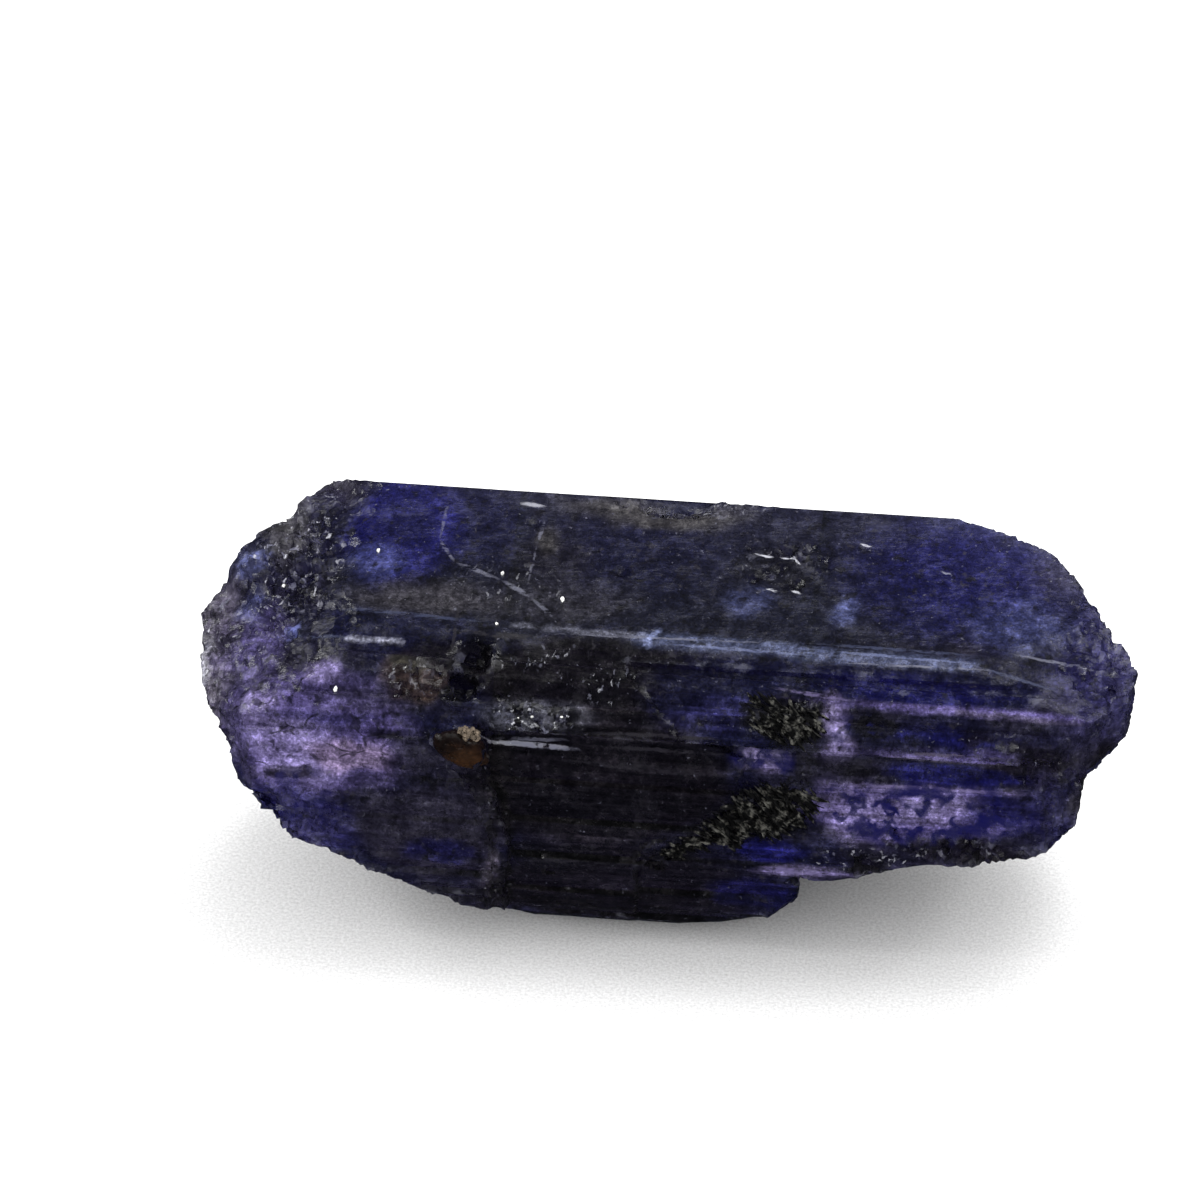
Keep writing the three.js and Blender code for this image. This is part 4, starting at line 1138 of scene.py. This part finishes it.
def joined_piece(name, parts, material, sharp_angle=None):
    """One mesh object from a list of (corners, faces)."""
    corners, faces = [], []
    for part_corners, part_faces in parts:
        faces += [[i + len(corners) for i in face] for face in part_faces]
        corners += [tuple(corner) for corner in part_corners]
    return dressed(new_piece(name, corners, faces, material, sharp_angle))


# Graphite patches: centre and reach in X and Z in millimetres, and turn in degrees, as seen from the front.
GraphitePatch = namedtuple("GraphitePatch", "centre reach turn")
GRAPHITE_PATCHES = [
    GraphitePatch((3.05, 7.2), (1.05, 0.42), -4),
    GraphitePatch((2.85, 4.95), (1.15, 0.7), 12),
    GraphitePatch((1.75, 4.35), (0.9, 0.42), 32),
    GraphitePatch((0.65, 3.7), (0.75, 0.2), 22),
]
FLAKE_SLANT = math.radians(42)  # how steeply the flakes run down to the right
FLAKE_OUTLINE = ((-1, 0), (-0.45, 0.9), (0.5, 1), (1, 0.1), (0.4, -1), (-0.55, -0.8))
FLAKE_LEVELS = ((-0.6, 1.0), (0.35, 1.0), (1.0, 0.62))  # height and spread of its outline, from the bottom up
FLAKE_JOG = (0.8, 1.15)  # how uneven its outline is
FLAKE_SWAY, FLAKE_TILT = 0.2, 0.14  # how much flakes differ in their slant and in how they lie, in radians
FLAKE_SPREAD = ((0.5, 1.35), (0.6, 1.5), (0.5, 1.5))  # least and most length, width and height, of the mean


def flake(place, normal, along, size, rng):
    """A thin lozenge-shaped flake with bevelled sides, sunk into the surface by half its height."""
    across = normal.cross(along).normalized()
    long, wide, high = size
    corners = []
    for level, spread in FLAKE_LEVELS:
        for u, v in FLAKE_OUTLINE:
            reach = spread * rng.uniform(*FLAKE_JOG)
            spot = place + along * (u * long * reach) + across * (v * wide * reach)
            corners.append(spot + normal * (level * high))
    count = len(FLAKE_OUTLINE)
    faces = []
    for low in (0, count):
        for i in range(count):
            after = (i + 1) % count
            faces.append([low + i, low + after, low + count + after, low + count + i])
    bottom, top = range(count - 1, -1, -1), range(2 * count, 3 * count)
    return corners, [*faces, list(bottom), list(top)]


def build_graphite(s):
    """The flakes of every graphite patch, as one piece."""
    surface = crystal_tree()
    rng = np.random.default_rng(21)
    flakes = []
    means = (s.flake_length / MM / 2, s.flake_width / MM / 2, s.flake_height / MM)
    for field in GRAPHITE_PATCHES:
        wide, high = field.reach
        area = math.pi * wide * high
        turn = Matrix.Rotation(math.radians(field.turn), 2)
        for _ in range(int(area * s.crowding)):
            angle, radius = rng.uniform(0, math.tau), math.sqrt(rng.uniform(0, 1))
            wobble = 0.8 + 0.3 * math.sin(3 * angle) * rng.uniform(0, 1)
            spot = Vector((math.cos(angle) * wide, math.sin(angle) * high)) * radius * wobble
            x, z = Vector(field.centre) + turn @ spot
            place, normal, _, _ = surface.ray_cast(Vector((x, -10, z)), Vector((0, 1, 0)))
            if place is None:
                continue
            slant = FLAKE_SLANT + rng.normal(0, FLAKE_SWAY)
            along = Vector((math.cos(slant), 0, -math.sin(slant)))
            normal = (normal + Vector(rng.normal(0, FLAKE_TILT, 3))).normalized()
            along = (along - normal * along.dot(normal)).normalized()
            size = [mean * rng.uniform(*spread) for mean, spread in zip(means, FLAKE_SPREAD)]
            flakes.append(flake(place, normal, along, size, rng))
    joined_piece("graphite_flakes", flakes, graphite_material(s))


def graphite_material(s):
    """Black graphite with a painted greenish-grey highlight in patches and on its ridges, and a little shiny.
    """
    material, t, space = new_material("Graphite")
    pattern = t.noise(t.vector("MULTIPLY", space["Plain"], (1, 0.6, 1)), 4.5, 4.0, 0.7)
    shade = t.blend(t.product(t.rise(pattern, 0.5, 0.66), 0.9), s.dark, s.sheen)
    # painted highlight on the flakes' edges
    edges = t.rise(t.add("ShaderNodeNewGeometry").outputs["Pointiness"], 0.52, 0.62)
    shade = t.blend(t.product(edges, 0.35), shade, s.sheen)
    roughness = t.math("ADD", 0.3, t.product(pattern, 0.3))
    normal = t.bumped(t.noise(space["Plain"], 20.0), 0.5, 0.02)
    values = {"Base Color": shade, "Roughness": roughness, "Metallic": 0.15, "Normal": normal}
    surface = t.add("ShaderNodeBsdfPrincipled", values)
    t.add("ShaderNodeOutputMaterial", {"Surface": surface.outputs[0]})
    return material


class TANZANITE_OT_graphite(Operator):
    """Set graphite flakes into the crystal's front"""

    bl_idname = "tanzanite.graphite"
    bl_label = "Graphite"

    def execute(self, context):
        build_graphite(context.scene.tanzanite_graphite)
        return {"FINISHED"}


def pebble(centre, axes, subdivisions, depth, seed):
    """A lumpy faceted pebble. axes are its three half axes in millimetres, and depth how lumpy it is."""
    ball = bpy.data.meshes.new("pebble")
    shape = bmesh.new()
    bmesh.ops.create_icosphere(shape, subdivisions=subdivisions, radius=1)
    shape.to_mesh(ball)
    shape.free()
    points, faces = numbers_of(ball.vertices, "co", 3), faces_of(ball, 3).tolist()
    bpy.data.meshes.remove(ball)
    bumps = chips(points * 1.3 + seed, seed) + 0.35 * fractal(points * 2.5 + seed, seed + 1, 3)
    return np.array(centre) + (points * (1 + depth * bumps)[:, None]) @ np.array(axes), faces


PEBBLE_EDGE = math.radians(24)  # edges of pebbles that turn by more than this stay sharp

# The stained grain: its centre and half axes in millimetres, and the line along its clear side.
GRAIN_CENTRE = (-4.5, -4.2, 6.42)
GRAIN_AXES = [(0.6, 0.1, -0.36), (0.05, 0.34, 0.1), (0.17, -0.12, 0.36)]
GRAIN_AMBER = Line((-4.9, -4.4, 6.25), (-3.8, -4.4, 6.05), 0.42, "amber", 1)
# The crust over it: its centre and reach in millimetres, and its crumbs.
CRUST_CENTRE = np.array((-4.35, -4.2, 6.87))
CRUST_REACH = np.array((0.3, 0.13, 0.23))
CRUMBS = 170
CRUMB_SPREAD = (0.5, 1.5)  # the smallest and largest crumb, of the mean


def build_grain(s):
    """The stained grain and the crumbs of its crust, as two pieces."""
    rng = np.random.default_rng(33)
    grain = pebble(GRAIN_CENTRE, GRAIN_AXES, 5, 0.1, 5)
    joined_piece("stained_grain", [grain], grain_material(s), PEBBLE_EDGE)

    crumbs = []
    for _ in range(CRUMBS):
        spot = rng.normal(0, 1, 3)
        spot *= rng.uniform(0, 1) ** 0.4 / np.linalg.norm(spot)
        half = s.crumb_size / MM / 2 * rng.uniform(*CRUMB_SPREAD)
        place = CRUST_CENTRE + spot * CRUST_REACH
        crumbs.append(pebble(place, np.eye(3) * half, 2, 0.3, int(rng.integers(1000))))
    joined_piece("stained_crust", crumbs, crust_material(s), PEBBLE_EDGE)


def grain_material(s):
    """A pebble stained with iron: dark rust, clear amber towards its lower right."""
    material, t, space = new_material("Stained grain", 0.8)
    amber = t.shared("Thin line", {"Place": space["Ragged"], **line_values(GRAIN_AMBER)})["Mask"]
    shade = t.blend(amber, s.rust, s.amber)
    shade = t.contrasted(shade, t.noise(space["Fine"], 5.0, 5.0, 0.7), 4.0)
    values = {"Base Color": shade, "Roughness": 0.28, "Transmission Weight": 0.2, "IOR": 1.55}
    values["Normal"] = t.bumped(t.noise(space["Plain"], 12.0, 4.0), 0.5, 0.03)
    surface = t.add("ShaderNodeBsdfPrincipled", values)
    t.add("ShaderNodeOutputMaterial", {"Surface": surface.outputs[0]})
    return material


def crust_material(s):
    """Dry granular crust."""
    material, t, space = new_material("Crust")
    shade = t.contrasted(s.crust, t.noise(space["Fine"], 6.0, 5.0, 0.7), 5.0)
    normal = t.bumped(t.noise(space["Plain"], 25.0), 0.5, 0.02)
    surface = t.add("ShaderNodeBsdfPrincipled", {"Base Color": shade, "Roughness": 0.6, "Normal": normal})
    t.add("ShaderNodeOutputMaterial", {"Surface": surface.outputs[0]})
    return material


class TANZANITE_OT_grain(Operator):
    """Set the stained grain and its crust at the top of the step"""

    bl_idname = "tanzanite.grain"
    bl_label = "Stained grain"

    def execute(self, context):
        build_grain(context.scene.tanzanite_grain)
        return {"FINISHED"}


# Dust specks: a point near the surface in millimetres, and size as a share of the setting.
DUST = [
    ((-4.0, 0.14, 8.28), 1.0),
    ((-2.5, -0.63, 8.22), 1.2),
    ((-7.0, 0.66, 8.32), 0.8),
    ((-7.55, -3.32, 7.26), 0.9),
    # These three specks on the chipped patch below the ridge also stand for its white glints, as painted
    # highlights.
    ((-2.9, -3.55, 7.0), 0.5),
    ((-3.2, -3.6, 6.9), 0.4),
    ((-2.2, -3.6, 7.1), 0.5),
    ((-9.13, 0.13, 7.48), 0.8),
    ((-3.95, -1.6, 8.15), 0.6),
]


def build_dust(s):
    """The dust specks, as one piece."""
    surface = crystal_tree()
    rng = np.random.default_rng(44)
    specks = []
    for near, size in DUST:
        place, normal, _, _ = surface.find_nearest(Vector(near))
        half = s.speck_size / MM / 2 * size
        axes = np.diag(half * rng.uniform(0.6, 1.3, 3))
        specks.append(pebble(place + normal * half * 0.4, axes, 2, 0.35, int(rng.integers(1000))))
    joined_piece("dust_specks", specks, dust_material(s), PEBBLE_EDGE)


def dust_material(s):
    """White dust."""
    material, t, space = new_material("Dust")
    shade = t.contrasted(s.tone, t.noise(space["Plain"], 9.0), 1.5)
    surface = t.add("ShaderNodeBsdfPrincipled", {"Base Color": shade, "Roughness": 0.8})
    t.add("ShaderNodeOutputMaterial", {"Surface": surface.outputs[0]})
    return material


class TANZANITE_OT_dust(Operator):
    """Drop the dust specks on the crystal"""

    bl_idname = "tanzanite.dust"
    bl_label = "Dust"

    def execute(self, context):
        build_dust(context.scene.tanzanite_dust)
        return {"FINISHED"}


# ---------------------------------------------------------------- the stage


def back_of(azimuth, elevation):
    """The direction from the target to a camera or a light."""
    level = math.cos(elevation)
    return Vector((math.sin(azimuth) * level, -math.cos(azimuth) * level, math.sin(elevation)))


def look(thing, place, target):
    """Puts a camera or a light at place, turned towards target."""
    thing.location = place
    thing.rotation_euler = (place - target).to_track_quat("Z", "Y").to_euler()


# Softboxes: where they hang, by azimuth and elevation in degrees, distance and size in metres, and watts.
Softbox = namedtuple("Softbox", "name azimuth elevation distance width height power glossy")
SOFTBOXES = [
    Softbox("key", 142, 70, 0.6, 0.4, 0.4, 2.1, False),
    Softbox("ceiling", 174, 44, 0.6, 0.5, 0.3, 0.023, True),
    Softbox("left_window", -110, 38, 0.6, 0.07, 0.12, 0.5, True),
    Softbox("right_window", 100, 45, 0.6, 0.07, 0.12, 0.3, True),
    Softbox("front_window", -62, 52, 0.6, 0.05, 0.05, 0.2, True),
]


def build_stage(s):
    """The camera, the floor, the softboxes and the room's walls."""
    scene = bpy.context.scene
    target = Vector(s.target)
    camera = bpy.data.objects.new("camera", bpy.data.cameras.new("camera"))
    camera.data.lens = camera.data.sensor_width * s.distance / s.view_width
    camera.data.clip_start = s.distance / 10
    camera.data.clip_end = s.floor_size * 2
    look(camera, target + back_of(s.azimuth, s.elevation) * s.distance, target)
    scene.collection.objects.link(camera)
    scene.camera = camera

    half = s.floor_size / MM / 2
    corners = [(-half, -half, 0), (half, -half, 0), (half, half, 0), (-half, half, 0)]
    floor = new_piece("floor", corners, [(0, 1, 2, 3)], paper_material(s))
    floor.visible_glossy = False

    for box in SOFTBOXES:
        light = bpy.data.lights.new(box.name, "AREA")
        light.shape = "RECTANGLE"
        light.size = box.width
        light.size_y = box.height
        light.energy = box.power
        lamp = bpy.data.objects.new(box.name, light)
        lamp.visible_glossy = box.glossy
        direction = back_of(math.radians(box.azimuth), math.radians(box.elevation))
        look(lamp, direction * box.distance, Vector((0, 0, 0)))
        scene.collection.objects.link(lamp)

    scene.world = studio_walls(s)
    scene.view_settings.view_transform = "Standard"
    scene.view_settings.look = "None"


WALLS = (1, 1, 1)
MIRRORED_WALLS = (0.8, 0.85, 1)  # a little blue, as a window is


def studio_walls(s):
    """The room: white behind the floor, as bright as the fill on things, and dim in what mirrors it."""
    world = bpy.data.worlds.new("studio")
    world.use_nodes = True
    world.node_tree.nodes.clear()
    t = Tree(world.node_tree)
    path = t.add("ShaderNodeLightPath").outputs
    sky, walls, room = (
        t.add("ShaderNodeBackground", {"Color": opaque(shade), "Strength": strength}).outputs[0]
        for shade, strength in ((WALLS, 1.0), (WALLS, s.fill), (MIRRORED_WALLS, s.mirrored_room))
    )
    lit = t.add("ShaderNodeMixShader", {0: path["Is Glossy Ray"], 1: walls, 2: room}).outputs[0]
    both = t.add("ShaderNodeMixShader", {0: path["Is Camera Ray"], 1: lit, 2: sky}).outputs[0]
    t.add("ShaderNodeOutputWorld", {"Surface": both})
    return world


def paper_material(s):
    """Plain white paper with a faint grain."""
    material, t, space = new_material("Paper")
    shade = t.contrasted(s.paper, t.noise(space["Plain"], 13.0, 2.0, 0.8), 0.9)
    surface = t.add("ShaderNodeBsdfDiffuse", {"Color": shade})
    t.add("ShaderNodeOutputMaterial", {"Surface": surface.outputs[0]})
    return material


class TANZANITE_OT_stage(Operator):
    """Make the floor, the soft lights and the camera"""

    bl_idname = "tanzanite.stage"
    bl_label = "Stage"

    def execute(self, context):
        build_stage(context.scene.tanzanite_stage)
        return {"FINISHED"}


# ---------------------------------------------------------------- the add-on


class TANZANITE_PT_panel(Panel):
    """Lists the operators in the order that they are meant to run"""

    bl_idname = "TANZANITE_PT_panel"
    bl_label = "Rough tanzanite"
    bl_space_type = "VIEW_3D"
    bl_region_type = "UI"
    bl_category = "Tanzanite"

    def draw(self, context):
        for operator in OPERATORS:
            self.layout.operator(operator.bl_idname)


SETTINGS = {
    "tanzanite_crystal": CrystalSettings,
    "tanzanite_graphite": GraphiteSettings,
    "tanzanite_grain": GrainSettings,
    "tanzanite_dust": DustSettings,
    "tanzanite_stage": StageSettings,
}
OPERATORS = (
    TANZANITE_OT_crystal,
    TANZANITE_OT_graphite,
    TANZANITE_OT_grain,
    TANZANITE_OT_dust,
    TANZANITE_OT_stage,
)


def register():
    for name, group in SETTINGS.items():
        bpy.utils.register_class(group)
        setattr(bpy.types.Scene, name, PointerProperty(type=group))
    for cls in (*OPERATORS, TANZANITE_PT_panel):
        bpy.utils.register_class(cls)


def unregister():
    for cls in (TANZANITE_PT_panel, *reversed(OPERATORS)):
        bpy.utils.unregister_class(cls)
    for name, group in SETTINGS.items():
        delattr(bpy.types.Scene, name)
        bpy.utils.unregister_class(group)


def main():
    register()
    bpy.ops.tanzanite.crystal()
    bpy.ops.tanzanite.graphite()
    bpy.ops.tanzanite.grain()
    bpy.ops.tanzanite.dust()
    bpy.ops.tanzanite.stage()


if __name__ == "__main__":
    main()
